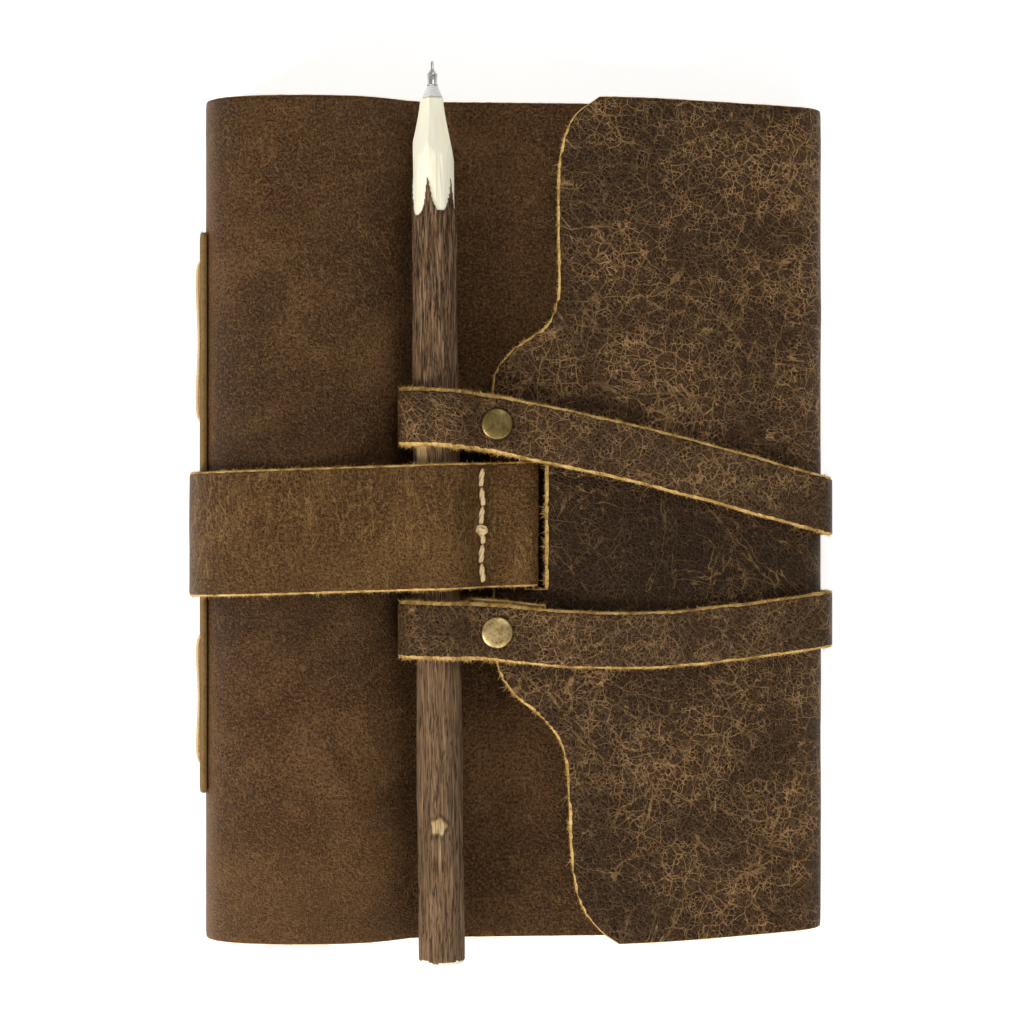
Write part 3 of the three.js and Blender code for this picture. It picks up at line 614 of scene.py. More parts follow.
def tube_faces(rings, sides, base=0):
    """The faces of a closed tube whose rings of points follow each other from base on."""
    faces = []
    for i in range(rings - 1):
        for k in range(sides):
            a, b = base + i * sides + k, base + i * sides + (k + 1) % sides
            faces.append((a, b, b + sides, a + sides))
    last = base + (rings - 1) * sides
    faces.append(tuple(base + k for k in reversed(range(sides))))
    faces.append(tuple(last + k for k in range(sides)))
    return faces


def oriented(verts, normals, faces):
    """Faces turned so that they look along the given normals."""
    a, b, c = (np.array(verts[faces[len(faces) // 2][k]]) for k in (0, 1, 2))
    if np.dot(np.cross(b - a, c - a), normals[faces[len(faces) // 2][0]]) < 0:
        return [tuple(reversed(f)) for f in faces]
    return faces


def ripple(x, y, seed, size, amount):
    return amount * noise.noise(Vector((x / size, y / size, seed)))


def sheet(name, route, row_y, rows, thickness, leather, slot, lift=None, seam=None, flat_y=None, wave=0.12,
          fuzz=9.0, seed=1, flat_start=0.0, bevel=0.5, show=None, tone=None):
    """A sheet along a route, with row_y(x, z, v) for v from 0 at its low edge to 1 at its high edge."""
    verts, normals, flats = [], [], []
    for s, (x, z), (nx, nz) in zip(route.s, route.p, route.n):
        for j in range(rows + 1):
            v = j / rows
            y = row_y(x, z, v)
            bump = ripple(s, y, seed, 17, wave) + ripple(s, y, seed + 5, 6, wave * 0.35)
            up = lift(y, z) if lift else 0.0
            verts.append((x + nx * bump, y, z + nz * bump + up))
            normals.append((nx, 0.0, nz))
            flats.append((s + flat_start, y if flat_y is None else flat_y(x, y)))
    faces = oriented(verts, normals, grid_faces(len(route.s), rows + 1))
    return thick_leather(name, verts, normals, flats, faces, thickness, leather, seam, fuzz, bevel,
                         show, seed, tone)


# Where the strap and tails lie on the page.
def strap_y(x):
    return -4.4 + 0.032 * (x + 44)


TAIL_POINTS = {
    "upper": spline([(-30, 23.1), (-16, 22.6), (-4, 21.2), (7, 19.0), (36, 12.6), (82, 0.4)]),
    "lower": spline([(-30, -28.2), (-16, -28.5), (-4, -29.0), (7, -30.2), (36, -31.0), (82, -26.1)]),
}


def tail_y(which, x):
    points = TAIL_POINTS[which]
    return float(np.interp(x, points[:, 0], points[:, 1]))


def tail_half(which, x):
    slope = (tail_y(which, x + 1) - tail_y(which, x - 1)) / 2
    return TAIL_WIDTH / 2 * math.hypot(1, slope)


TAIL_END_X = TAIL_X + 0.5
TAIL_EDGE_Y = {which: tail_y(which, TAIL_END_X) for which in TAIL_POINTS}
BAND_TOP = TAIL_EDGE_Y["upper"] + TAIL_WIDTH / 2 + 5
BAND_LOW = TAIL_EDGE_Y["lower"] - TAIL_WIDTH / 2 - 4
BAND_RAMP = 10.0


def over_strap(y, z):
    inside = min((BAND_TOP + BAND_RAMP - y) / BAND_RAMP, (y - BAND_LOW + BAND_RAMP) / BAND_RAMP)
    low = min(1.0, max(0.0, 1 - (z - COVER_MIDDLE) / 10.0))
    return STRAP_RISE * smooth(inside) * low * low


def towards_edge(x):
    return min(1.0, max(0.0, (x - 20) / (EDGE_X - 20))) ** 2


def cover_y(x, z, v):
    far = towards_edge(x)
    low, high = COVER_LOW + 1.7 * EDGE_TAPER * far, COVER_TOP - EDGE_TAPER * far
    return low + v * (high - low)


# Cover: one hide, cut where its panels turn.
COVER_ROWS = 150
COVER_STEP = 1.4
INSIDE = 99.0  # a panel's seam stops short of its top and bottom edges


def cover_painted_light(p):
    """Painted light: paler low on the front and a painted sheen along the spine's fold; painted shade beside
    the strap and under the flap.
    """
    x, y = p[0], p[1]
    # painted light low on the front, a painted sheen along the spine's fold, painted shade beside the strap
    low = 0.40 * smooth((-58 - y) / 40) * smooth((-22 - x) / 12)
    spine = 0.75 * smooth((-71.2 - x) / 2.4) * smooth((p[2] - 12) / 6)
    painted_shade_beside_strap = -0.42 * smooth((44 - abs(y + 4)) / 26)
    return low + spine + painted_shade_beside_strap


def flap_painted_light(p):
    """Darker between the tails, as painted shade with partly darker leather, and low on its free side.
    Paler by the fore-edge, as a painted sheen."""
    x, y = p[0], p[1]
    # painted shade between the tails, with partly darker leather; a painted sheen by the fore-edge
    shade_and_dark_leather_between_tails = -0.75 * smooth((y + 36) / 10) * smooth((20 - y) / 14)
    low_left = -0.28 * smooth((-44 - y) / 16) * smooth((42 - x) / 24)
    return shade_and_dark_leather_between_tails + low_left + 0.35 * smooth((x - 66) / 9)


def cover_sheet(name, route, leather, **looks):
    slot = f"{leather}_leather"
    return sheet(name, route, cover_y, COVER_ROWS, LEATHER, leather, slot, lift=over_strap, **looks)


def make_cover():
    left = Route(COVER_LEFT, COVER_STEP, outward=-1)
    front = cover_sheet("front_and_spine_leather", left, "cover", seed=3, fuzz=9, bevel=0.5, tone=cover_painted_light,
                        seam=lambda p: p[0] < SPINE_X + 9.2 and p[2] < 5 and abs(p[1]) < INSIDE,
                        show=lambda p: 0.22)
    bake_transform(front)
    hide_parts("cover_front", "cover_spine")

    flat_line = [(x, COVER_MIDDLE) for x in (SPINE_X + 9, 0, EDGE_X - 8)]
    back = cover_sheet("back_leather", Route(flat_line, 2.2, outward=-1), "cover", wave=0.0, seed=4, fuzz=3,
                       flat_start=190, seam=lambda p: abs(p[0]) > 64 and abs(p[1]) < INSIDE)
    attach(back, "book")
    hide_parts("cover_back")

    edge = Route(COVER_RIGHT, 0.9, outward=-1, start=0, end=4)
    fore = cover_sheet("fore_edge_leather", edge, "flap", wave=0.0, seed=6, fuzz=3,
                       seam=lambda p: abs(p[1]) < INSIDE)
    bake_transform(fore)
    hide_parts("cover_fore_edge")


def flap_left(y):
    """The flap's free edge: X at each height on the page. Two wings, with the slotted tongue between them."""
    return float(np.interp(y, FLAP_EDGE[:, 1], FLAP_EDGE[:, 0]))


WING = 11.2
FLAP_EDGE = spline(
    [
        (26.2, COVER_LOW - 0.75), (WING + 10.6, COVER_LOW + 2.4), (WING + 5.6, COVER_LOW + 9),
        (WING + 3.2, -83), (WING + 2.6, -68), (WING + 1.0, -57), (WING - 3.4, -50.3), (0.2, -44), (-3.6, -37),
        (-4.3, -25), (-4.7, 0), (-5.0, 27), (-3.6, 34.6), (WING - 10.4, 39.8), (WING - 2.6, 45.4),
        (WING - 0.2, 51), (WING, COVER_TOP - 32), (WING + 0.4, COVER_TOP - 15), (WING + 3.6, COVER_TOP - 5),
        (WING + 10.1, COVER_TOP + 0.25),
    ]
)
SLOT_HALF = STRAP / 2 + GAP + 0.5
SLOT_LEFT, SLOT_RIGHT = SLOT_X - SLOT_HALF, SLOT_X + SLOT_HALF + 1.1
SLOT_LOW = strap_y(SLOT_X) - STRAP_WIDTH / 2 - 1.0
SLOT_HIGH = strap_y(SLOT_X) + STRAP_WIDTH / 2 + 1.0


def flap_show(point):
    """The free edge and the slot's far side show their cut; the top and bottom edges hardly do."""
    if SLOT_X < point[0] < SLOT_RIGHT + 1 and SLOT_LOW - 1 < point[1] < SLOT_HIGH + 1:
        return 1.7
    return 0.2 + 0.9 * smooth((26 - point[0]) / 8) * smooth((COVER_TOP - 1.5 - abs(point[1] + 1.8)) / 5)


def make_flap():
    """The flap's columns run from the fore-edge to the free edge, and crowd where the outline cuts them."""
    route = Route(COVER_RIGHT, 1.0, outward=-1, start=4)
    low_edge, high_edge = COVER_LOW - 0.6, COVER_TOP + 0.2
    heights = sorted(set(np.linspace(low_edge, high_edge, 190)) | {SLOT_LOW, SLOT_HIGH})
    heights = np.array([h for i, h in enumerate(heights) if i == 0 or h - heights[i - 1] > 0.02])
    s_at = lambda x: float(np.interp(-x, -route.p[:, 0][8:], route.s[8:]))
    columns = np.array(sorted(set(route.s) | {s_at(SLOT_LEFT), s_at(SLOT_RIGHT)}))
    verts, normals, flats = [], [], []
    for s in columns:
        for y in heights:
            far = towards_edge(np.interp(s, route.s, route.p[:, 0]))
            stop = s_at(flap_left(y))
            run = min(s, stop)
            x, z = (float(np.interp(run, route.s, route.p[:, k])) for k in (0, 1))
            nx, nz = (float(np.interp(run, route.s, route.n[:, k])) for k in (0, 1))
            taper = (y - low_edge) / (high_edge - low_edge)
            yy = y + far * (1.7 * EDGE_TAPER * (1 - taper) - EDGE_TAPER * taper)
            wing = smooth((34 - x) / 22) * smooth((abs(y) - 44) / 30)
            bump = ripple(run, y, 2.2, 21, 0.25) + ripple(run, y, 9, 7, 0.08)
            bump += wing * 0.9 * noise.noise(Vector((0.2, y / 26, 3.3)))
            verts.append((x + nx * bump, yy, z + nz * bump))
            normals.append((nx, 0.0, nz))
            flats.append((run + 60, yy))
    rows = len(heights)
    faces = []
    s_low, s_high = s_at(SLOT_RIGHT), s_at(SLOT_LEFT)
    for i in range(len(columns) - 1):
        for j in range(rows - 1):
            middle_s = (columns[i] + columns[i + 1]) / 2
            middle_y = (heights[j] + heights[j + 1]) / 2
            if s_low < middle_s < s_high and SLOT_LOW < middle_y < SLOT_HIGH:
                continue
            faces.append((i * rows + j, i * rows + j + 1, (i + 1) * rows + j + 1, (i + 1) * rows + j))
    verts, normals, flats, faces = welded(verts, normals, flats, faces)
    faces = oriented(verts, normals, faces)
    flap = thick_leather("flap_leather_sheet", verts, normals, flats, faces, LEATHER, "flap",
                         seam=lambda p: p[2] < EDGE_HIGH - 4 and abs(p[1]) < INSIDE,
                         fuzz=16, bevel=0.55, seed=8, show=flap_show, tone=flap_painted_light)
    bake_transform(flap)
    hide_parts("cover_flap")


def welded(verts, normals, flats, faces):
    """Joins vertices that lie together and drops the faces that this closes up."""
    seen, number = {}, []
    kept_v, kept_n, kept_f = [], [], []
    for v, n, f in zip(verts, normals, flats):
        key = tuple(round(c / 0.04) for c in v)
        if key not in seen:
            seen[key] = len(kept_v)
            kept_v.append(v)
            kept_n.append(n)
            kept_f.append(f)
        number.append(seen[key])
    kept = []
    for face in faces:
        ring = []
        for i in face:
            if number[i] not in ring:
                ring.append(number[i])
        if len(ring) > 2:
            kept.append(tuple(ring))
    return kept_v, kept_n, kept_f, kept


# Strap and tails.
def strap_row(x, z, v):
    return strap_y(x) + (v - 0.5) * STRAP_WIDTH


def off_strap_edges(p):
    return abs(p[1] - strap_y(p[0])) < STRAP_WIDTH / 2 - 0.8


STRAP_CUT = 23  # point of the strap's route, halfway down the spine, where its two pieces meet


def strap_sheet(name, route, **looks):
    return sheet(name, route, strap_row, 34, STRAP, "strap", "strap_leather", **looks)


def make_strap():
    over_front = strap_sheet("strap_over_front_leather", Route(STRAP_ROUTE, 0.9, outward=-1, end=STRAP_CUT),
                             seam=lambda p: p[2] < 14 and p[0] < -70 and off_strap_edges(p), seed=11, fuzz=18,
                             bevel=0.36, wave=0.16)
    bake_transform(over_front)
    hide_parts("strap_front")
    spine = strap_sheet("strap_round_spine_leather", Route(STRAP_ROUTE, 0.9, outward=-1, start=STRAP_CUT),
                        seam=off_strap_edges, seed=12, fuzz=8, bevel=0.35, wave=0.0)
    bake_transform(spine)
    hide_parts("strap_spine")


def make_strap_back():
    """Under the back cover the strap splits into its two tails."""
    left, right, fork = STRAP_X + 10.5, TAIL_X - 10.5, -4.0
    columns, rows = 90, 14
    half_slit = 0.5
    y0 = strap_y(left)
    verts, normals, flats, faces = [], [], [], []
    for part, edge_low, edge_high in (("upper", 0.0, STRAP_WIDTH / 2), ("lower", -STRAP_WIDTH / 2, 0.0)):
        start = len(verts)
        middle = TAIL_EDGE_Y[part]
        for i in range(columns + 1):
            x = left + (right - left) * i / columns
            t = smooth((x - fork) / (right - fork)) if x > fork else 0.0
            low = (y0 + edge_low) * (1 - t) + (middle - TAIL_WIDTH / 2) * t
            high = (y0 + edge_high) * (1 - t) + (middle + TAIL_WIDTH / 2) * t
            slit = half_slit * min(1, max(0, x - fork) / 6)
            if part == "upper":
                low += slit
            else:
                high -= slit
            for j in range(rows + 1):
                y = low + (high - low) * j / rows
                verts.append((x, y, STRAP / 2))
                normals.append((0, 0, -1))
                flats.append((x, y))
        faces += [tuple(start + k for k in f) for f in grid_faces(columns + 1, rows + 1)]
    verts, normals, flats, faces = welded(verts, normals, flats, faces)
    faces = oriented(verts, normals, faces)
    back = thick_leather("strap_under_back_leather", verts, normals, flats, faces, STRAP, "strap",
                         fuzz=3, bevel=0.3, seed=14,
                         seam=lambda p: p[0] < left + 0.1 or p[0] > right - 0.1)
    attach(back, "strap_under_back")
    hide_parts("strap_back")


def make_tail(which):
    middle = TAIL_EDGE_Y[which]
    upper = which == "upper"

    def tail_sheet(name, route, row, rows, **looks):
        return sheet(name, route, row, rows, STRAP, "tail", "tail_leather", **looks)

    side = tail_sheet(f"{which}_tail_turn_leather", Route(TAIL_ROUTE, 0.8, outward=-1, end=4),
                      lambda x, z, v: middle + (v - 0.5) * TAIL_WIDTH, 18,
                      wave=0.0, seed=15, fuzz=9, bevel=0.35,
                      seam=lambda p: abs(p[1] - middle) < TAIL_WIDTH / 2 - 0.6)
    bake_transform(side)
    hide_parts(f"{which}_tail_side")

    def front_row(x, z, v):
        near = min(x, TAIL_END_X)
        share = smooth((z - 11.5) / 5) if x > 70 else 1.0
        y = tail_y(which, near) * share + middle * (1 - share)
        half = tail_half(which, near) * share + TAIL_WIDTH / 2 * (1 - share)
        uneven = 0.28 * noise.noise(Vector((x / 9, v * 3, 40 if upper else 60)))
        # the lower loop's under layer shows above the tail
        under = not upper and x < 9 and z < LOOP_HIGH - 1.2
        shift = 0.95 * smooth((x + 22) / 10) if under else 0.0
        return y + shift + (v - 0.5) * 2 * half + uneven * abs(v - 0.5) * 2

    front = tail_sheet(f"{which}_tail_leather", Route(TAIL_ROUTE, 0.7, outward=-1, start=4), front_row, 20,
                       wave=0.1, seed=17 if upper else 23, fuzz=26, bevel=0.62,
                       seam=lambda p: p[0] > 76 and p[2] < 13.2,
                       show=lambda p: 0.85 + 0.5 * smooth((4 - p[0]) / 10))
    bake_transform(front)
    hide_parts(f"{which}_tail_front")


# Spine patch.
def make_patch():
    route = Route(COVER_LEFT, 0.9, outward=-1, start=13)
    offset = LEATHER / 2 + GAP + PATCH / 2
    low, height = -68.5, 136.7
    kept = [i for i, p in enumerate(route.p) if 3.2 < p[1] < BULGE - 8]
    route.s, route.n = route.s[kept], route.n[kept]
    route.p = route.p[kept] + route.n * offset
    patch = sheet("spine_patch_suede", route, lambda x, z, v: low + v * height, 110, PATCH, "strap",
                  "patch_suede", lift=over_strap, wave=0.0, seed=31, fuzz=10, bevel=0.3)
    for k in (0, 2):
        patch.data.materials[k] = FLESH
    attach(patch, "book")
    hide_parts("spine_patch")


# Thread.
def thread_material():
    m = Nodes("waxed_linen_thread")
    flat = m.uv()
    strands = m.noise(m.mapping(flat, (30, 400, 1)), 2, 3, 0.6)
    colour = m.mix(m.span(strands, 0.3, 0.7), (0.74, 0.46, 0.19), (1.00, 0.82, 0.49))
    return m.surface(colour, 0.75, m.bump(strands, 0.00008, 0.6), specular=0.3)


THREAD = thread_material()


def twisted(name, runs, radius, twist=2.6, plies=3, swell=0.0):
    """A plied thread along each run of points, fuller by swell in the middle of each run."""
    verts, faces, flats = [], [], []
    sides = 5
    for run in runs:
        path = spline(run, 10)
        lengths = np.concatenate([[0], np.cumsum(np.linalg.norm(np.diff(path, axis=0), axis=1))])
        count = max(6, int(lengths[-1] / (radius * 0.55)))
        s = np.linspace(0, lengths[-1], count)
        middle = np.column_stack([np.interp(s, lengths, path[:, k]) for k in range(3)])
        along = unit_rows(np.gradient(middle, axis=0))
        side = unit_rows(np.cross(along, np.tile((0.31, 0.17, 0.93), (count, 1))))
        other = np.cross(along, side)
        for ply in range(plies):
            base = len(verts)
            for i in range(count):
                turn = 2 * math.pi * (ply / plies) + s[i] / (radius * twist)
                away = side[i] * math.cos(turn) + other[i] * math.sin(turn)
                close = min(1.0, 0.35 + min(i, count - 1 - i) / 3)
                close *= 1 + swell * math.sin(math.pi * i / (count - 1))
                centre = middle[i] + away * radius * 0.48 * close
                for k in range(sides):
                    angle = 2 * math.pi * k / sides
                    ring = side[i] * math.cos(angle) + other[i] * math.sin(angle)
                    verts.append(centre + ring * radius * 0.52 * close)
                    flats.append((s[i] + ply, k + ply * 7))
            faces += tube_faces(count, sides, base)
    return mesh_object(name, verts, faces, flats, [THREAD])


def make_strap_thread():
    """A running stitch down through both layers of the strap, tied off with a small knot."""
    radius = 0.42
    stitches = 6
    low = strap_y(STITCH_X) - STRAP_WIDTH / 2 + 1.2
    pitch = (STRAP_WIDTH - 2.4) / stitches
    top = BAR_Z + OVER + 0.5 + STRAP / 2
    under = BAR_Z - OVER - 0.6 - STRAP / 2
    runs = []
    for i in range(stitches):
        y0, y1 = low + i * pitch + 0.6, low + (i + 1) * pitch - 0.6
        sway = 0.25 * (-1) ** i
        above = [(sway, y0 - 0.2, -1.0), (sway, y0 + 0.1, 0.3), (sway * 0.4, (y0 + y1) / 2, 0.5),
                 (-sway * 0.3, y1 - 0.1, 0.3), (-sway * 0.3, y1 + 0.2, -1.0)]
        below = [(0, y0 - 0.2, 0.8), (0, y0 + 0.3, -0.35), (0, y1 - 0.3, -0.35), (0, y1 + 0.2, 0.8)]
        runs.append([(STITCH_X + x, y, top + z) for x, y, z in above])
        runs.append([(STITCH_X + x, y, under + z) for x, y, z in below])
    # the knot: two turns round the stitches and a short tail
    y = low + 2.5 * pitch + 0.6
    turns = []
    for k in range(15):
        angle = k / 14 * 4.2 * math.pi
        lift = top + 0.75 + 0.4 * math.sin(angle * 1.5)
        turns.append((STITCH_X + 0.85 * math.cos(angle), y + 0.42 * math.sin(angle) + 0.09 * k, lift))
    runs.append(turns)
    tail = [(-0.6, 0.6, 0.8), (-1.3, 0.3, 0.6), (-1.9, -0.3, 0.35)]
    runs.append([(STITCH_X + dx, y + dy, top + dz) for dx, dy, dz in tail])
    thread = twisted("strap_stitching", runs, radius, swell=0.8)
    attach(thread, "strap_over_front")
    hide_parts("strap_thread")


STATIONS = [62, 22, -30, -62]


def pitch_at(x):
    return (block_top(x) - BLOCK_BASE) / SIGNATURES


def fold_middle(i):
    return BLOCK_BASE + i * pitch_at(FOLD_X) + (pitch_at(FOLD_X) - GAP) / 2


def make_binding_threads():
    left = Route(COVER_LEFT, 0.5, outward=-1, start=13)
    for i in range(SIGNATURES):
        z = fold_middle(i)
        nearest = left.p[np.argmin(np.abs(left.p[:, 1] - z) + (left.p[:, 0] > SPINE_X + 4) * 99)]
        surface = nearest[0] - LEATHER / 2 - GAP - PATCH
        out = surface - 0.3
        inside = FOLD_X + 1.9
        runs = [[(inside, STATIONS[3], z), (inside, -20, z), (inside, 20, z), (inside, STATIONS[0], z)]]
        for start, end in ((STATIONS[1], STATIONS[0]), (STATIONS[3], STATIONS[2])):
            runs.append([(inside, start + 0.2, z), (surface + 1.0, start, z), (out, start + 0.9, z),
                         (out - 0.05, (start + end) / 2, z), (out, end - 0.9, z), (surface + 1.0, end, z),
                         (inside, end - 0.2, z)])
        thread = twisted(f"binding_stitches_{i + 1}", runs, 0.24)
        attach(thread, "book")
        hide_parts(f"binding_thread_{i + 1}")


# Paper.
def paper_material():
    m = Nodes("handmade_paper")
    place = m.place()
    fibre = m.noise(m.mapping(place, (60, 60, 400)), 12, 4, 0.6)
    broad = m.noise(place, 30, 3)
    colour = m.mix(m.span(fibre, 0.3, 0.7), (0.70, 0.62, 0.46), (0.86, 0.80, 0.66))
    colour = m.mix(m.span(broad, 0.4, 0.7, 0, 0.3), colour, (0.60, 0.50, 0.34))
    return m.surface(colour, 0.92, m.bump(fibre, 0.0001, 0.5), specular=0.2)


PAPER = paper_material()
LEAVES = 5  # folded sheets drawn in each section


def make_signature(i):
    """A folded section: sheets that share a round fold and end unevenly at the fore-edge."""
    rng = random.Random(100 + i)
    verts, faces, flats = [], [], []
    middle_y = (COVER_TOP + COVER_LOW) / 2
    thick, thin = pitch_at(FOLD_X) - GAP, pitch_at(FORE_X) - GAP
    for leaf in range(LEAVES):
        base = len(verts)
        slack = 0.012
        lower, upper = leaf / LEAVES + slack, (leaf + 1) / LEAVES - slack
        end_x = FORE_X - rng.uniform(0.0, 1.3)
        top_y = middle_y + PAGE_HEIGHT / 2 - rng.uniform(0, 0.7)
        low_y = middle_y - PAGE_HEIGHT / 2 + rng.uniform(0, 0.7)
        columns, rows = 16, 26
        fold_in = 0.9 * (1 - math.sqrt(max(0, 1 - (2 * (leaf + 0.5) / LEAVES - 1) ** 2 * 0.9)))
        for side in (lower, upper):
            for c in range(columns + 1):
                x = FOLD_X + fold_in + 0.1 + (end_x - FOLD_X - fold_in - 0.1) * c / columns
                t = (x - FOLD_X) / PAGE_WIDTH
                z0 = BLOCK_BASE + i * pitch_at(x)
                height = thick + (thin - thick) * t
                for r in range(rows + 1):
                    y = low_y + (top_y - low_y) * r / rows
                    ragged = 0.35 * noise.noise(Vector((y / 4, i * 3.1, leaf * 1.7))) if c == columns else 0.0
                    verts.append((x + ragged, y, z0 + height * side))
                    flats.append((x, y))
        sheet_size = (columns + 1) * (rows + 1)
        lower_faces = grid_faces(columns + 1, rows + 1)
        faces += [tuple(base + k for k in f) for f in lower_faces]
        faces += [tuple(base + sheet_size + k for k in reversed(f)) for f in lower_faces]
        ring = [c * (rows + 1) for c in range(columns + 1)]
        ring += [columns * (rows + 1) + r for r in range(1, rows + 1)]
        ring += [c * (rows + 1) + rows for c in range(columns - 1, -1, -1)]
        ring += [r for r in range(rows - 1, 0, -1)]
        for a, b in zip(ring, ring[1:] + ring[:1]):
            faces.append((base + a, base + sheet_size + a, base + sheet_size + b, base + b))
    pages = mesh_object(f"section_{i + 1}", verts, faces, flats, [PAPER], soft=False)
    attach(pages, "book")
    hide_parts(f"signature_{i + 1}")


def around(sides):
    return [2 * math.pi * k / sides for k in range(sides)]


def lathe(profile, sides, place):
    """Points and faces of a turned piece. place(across, up, along) lays each point, with along its axis."""
    points = [place(r * math.cos(t), r * math.sin(t), along) for r, along in profile for t in around(sides)]
    return points, tube_faces(len(profile), sides)


# Rivets.
def brass_material(name, dark, bright):
    """Antique-plated brass: blotched, scratched, and darker in its rolled rim."""
    m = Nodes(name)
    place = m.place()
    rim = m.attribute("rim")
    stain = m.noise(place, 620, 5, 0.7)
    scratch = m.noise(m.mapping(m.mapping(place, turn=0.6), (300, 4000, 300)), 3, 3, 0.6)
    colour = m.mix(m.span(stain, 0.36, 0.66), dark, bright)
    colour = m.mix(m.span(scratch, 0.52, 0.72, 0, 0.35), colour, shade(bright, 1.5))
    colour = m.mix(m.span(rim, 0.90, 0.99, 0.0, 0.8), colour, (0.020, 0.013, 0.006))
    rough = m.span(stain, 0.3, 0.7, 0.52, 0.36)
    return m.surface(colour, rough, m.bump(stain, 0.00006, 0.5), metallic=1.0)


BRASS = {
    "upper": brass_material("antique_brass_dark", (0.120, 0.083, 0.026), (0.300, 0.210, 0.074)),
    "lower": brass_material("antique_brass_worn", (0.230, 0.160, 0.062), (0.800, 0.570, 0.260)),
}


def turned(name, profile, centre, material, sides=64):
    """A lathe-turned piece about +Z."""
    x, y, z = centre
    verts, faces = lathe(profile, sides, lambda across, up, along: (x + across, y + up, z + along))
    flats = [(v[0], v[1]) for v in verts]
    return mesh_object(name, verts, faces, flats, [material])


def make_rivet(which):
    y = tail_y(which, RIVET_X)
    seat = LOOP_HIGH + STRAP / 2
    rim = [(0.35, -0.12), (0.05, 0.05), (0, 0.28), (0.10, 0.52), (0.3, 0.70), (0.6, 0.83), (1.1, 0.96),
           (1.8, 1.06)]
    dome = [(1.1, LOOP_LOW - STRAP / 2 - seat), (1.1, -0.1), *((RIVET_R - inset, z) for inset, z in rim),
            (1.4, 1.12), (0.7, 1.15), (0.02, 1.16)]
    cap = turned(f"{which}_rivet_dome", dome, (RIVET_X, y, seat + 0.12), BRASS[which])
    radii = [math.hypot(v.co.x / MM - RIVET_X, v.co.y / MM - y) / RIVET_R for v in cap.data.vertices]
    cap.data.attributes.new("rim", "FLOAT", "POINT").data.foreach_set("value", radii)
    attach(cap, f"{which}_tail")
    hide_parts(f"{which}_rivet_cap")
    plate = [(0.02, -0.75), (2.8, -0.75), (3.1, -0.6), (3.3, -0.2), (3.25, 0.0), (0.02, 0.0)]
    back = turned(f"{which}_rivet_plate", plate, (RIVET_X, y, LOOP_LOW - STRAP / 2 - 0.15), BRASS[which],
                  48)
    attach(back, f"{which}_tail")
    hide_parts(f"{which}_rivet_back")


# Pen.
PEN_LOW = -109.15
BARREL = 209.2
BARREL_END = PEN_LOW + BARREL
WHITTLE = 28.0
FACET_TURN = 0.558  # where the knife's first facet starts round the twig


def bark_material():
    """Dry twig: brown bark with long fibres, cream wood where it is whittled, a tan knot and bare strip."""
    m = Nodes("twig_bark_and_wood")
    bare = m.attribute("bare")
    knot = m.attribute("knot")
    flat = m.uv()
    fibres = m.noise(m.mapping(flat, (60, 5.0, 1)), 5, 6, 0.78, 0.4)
    cracks = m.math("ABSOLUTE", m.less(m.noise(m.mapping(flat, (34, 1.5, 1)), 4, 3, 0.6, 0.5), 0.5))
    cracks = m.span(cracks, 0.006, 0.032, 1.0, 0.0)
    streaks = m.noise(m.mapping(flat, (30, 2.2, 1)), 4, 4, 0.65)
    along = m.noise(m.mapping(flat, (3, 1.4, 1)), 2.2, 3)
    split = m.add("ShaderNodeSeparateXYZ")
    m.join(flat, split.inputs[0])
    low_end = m.span(split.outputs[1], 0.5, -0.4)
    bark = m.mix(m.span(fibres, 0.41, 0.60), (0.024, 0.0100, 0.0040), (0.300, 0.165, 0.078))
    bark = m.mix(m.span(streaks, 0.50, 0.62, 0, 0.7), bark, (0.46, 0.290, 0.155))
    bark = m.mix(m.times(low_end, 0.42), bark, (0.340, 0.205, 0.105))
    bark = m.mix(m.span(along, 0.45, 0.7, 0, 0.35), bark, (0.070, 0.038, 0.020))
    bark = m.mix(m.times(cracks, 0.8), bark, (0.020, 0.0105, 0.0055))
    grain = m.noise(m.mapping(flat, (60, 2.5, 1)), 5, 3, 0.6)
    wood = m.mix(m.span(grain, 0.35, 0.62), (0.94, 0.85, 0.55), (1.0, 0.98, 0.84))
    colour = m.mix(m.span(bare, 0.42, 0.58), bark, wood)
    tan = m.mix(m.span(grain, 0.3, 0.7), (0.50, 0.300, 0.115), (0.82, 0.600, 0.300))
    colour = m.mix(knot, colour, tan)
    rest = m.less(1.0, bare)
    height = m.times(m.less(fibres, m.times(cracks, 0.6)), rest)
    height = m.plus(height, m.times(grain, 0.14))
    return m.surface(colour, 0.85, m.bump(height, 0.0006, 1.0), specular=0.2)


def pen_place(points):
    """Turns points on a pen that lies along Y to where the leaning pen lies."""
    c, s = math.cos(PEN_TILT), math.sin(PEN_TILT)
    return [(x * c - y * s + PEN_X + 0.05, x * s + y * c, z + PEN_Z) for x, y, z in points]


FACET = 2 * math.pi / 5  # how far round the twig each of the knife's five facets reaches


def whittled_radius(angle, y):
    """Radius of the wood under the knife: flat facets that meet at the tip. Angle 0 is +X, turning up."""
    up = BARREL_END - y
    cone = 2.6 + 3.3 * smooth(up / 24) ** 0.8 + max(0.0, up - 24) * 0.055
    sector = (angle - FACET_TURN) % FACET - FACET / 2
    return cone * 0.985 / max(0.72, math.cos(sector * 0.93))


def facet_end(angle):
    """How far down the facets reach at each angle: scalloped, with bark left in the V between them."""
    sector = ((angle - FACET_TURN) % FACET) / FACET
    scallop = 1 - abs(2 * sector - 1) ** 2.8
    return WHITTLE - 9.0 + 9.0 * scallop + 0.6 * math.sin(angle * 3 + 1)


KNOT_Y, KNOT_ANGLE = -75.5, math.pi / 2 + 0.03
COLLAR_SEAT = 2.0, 6.0  # radius and depth of the mouth drilled for the collar


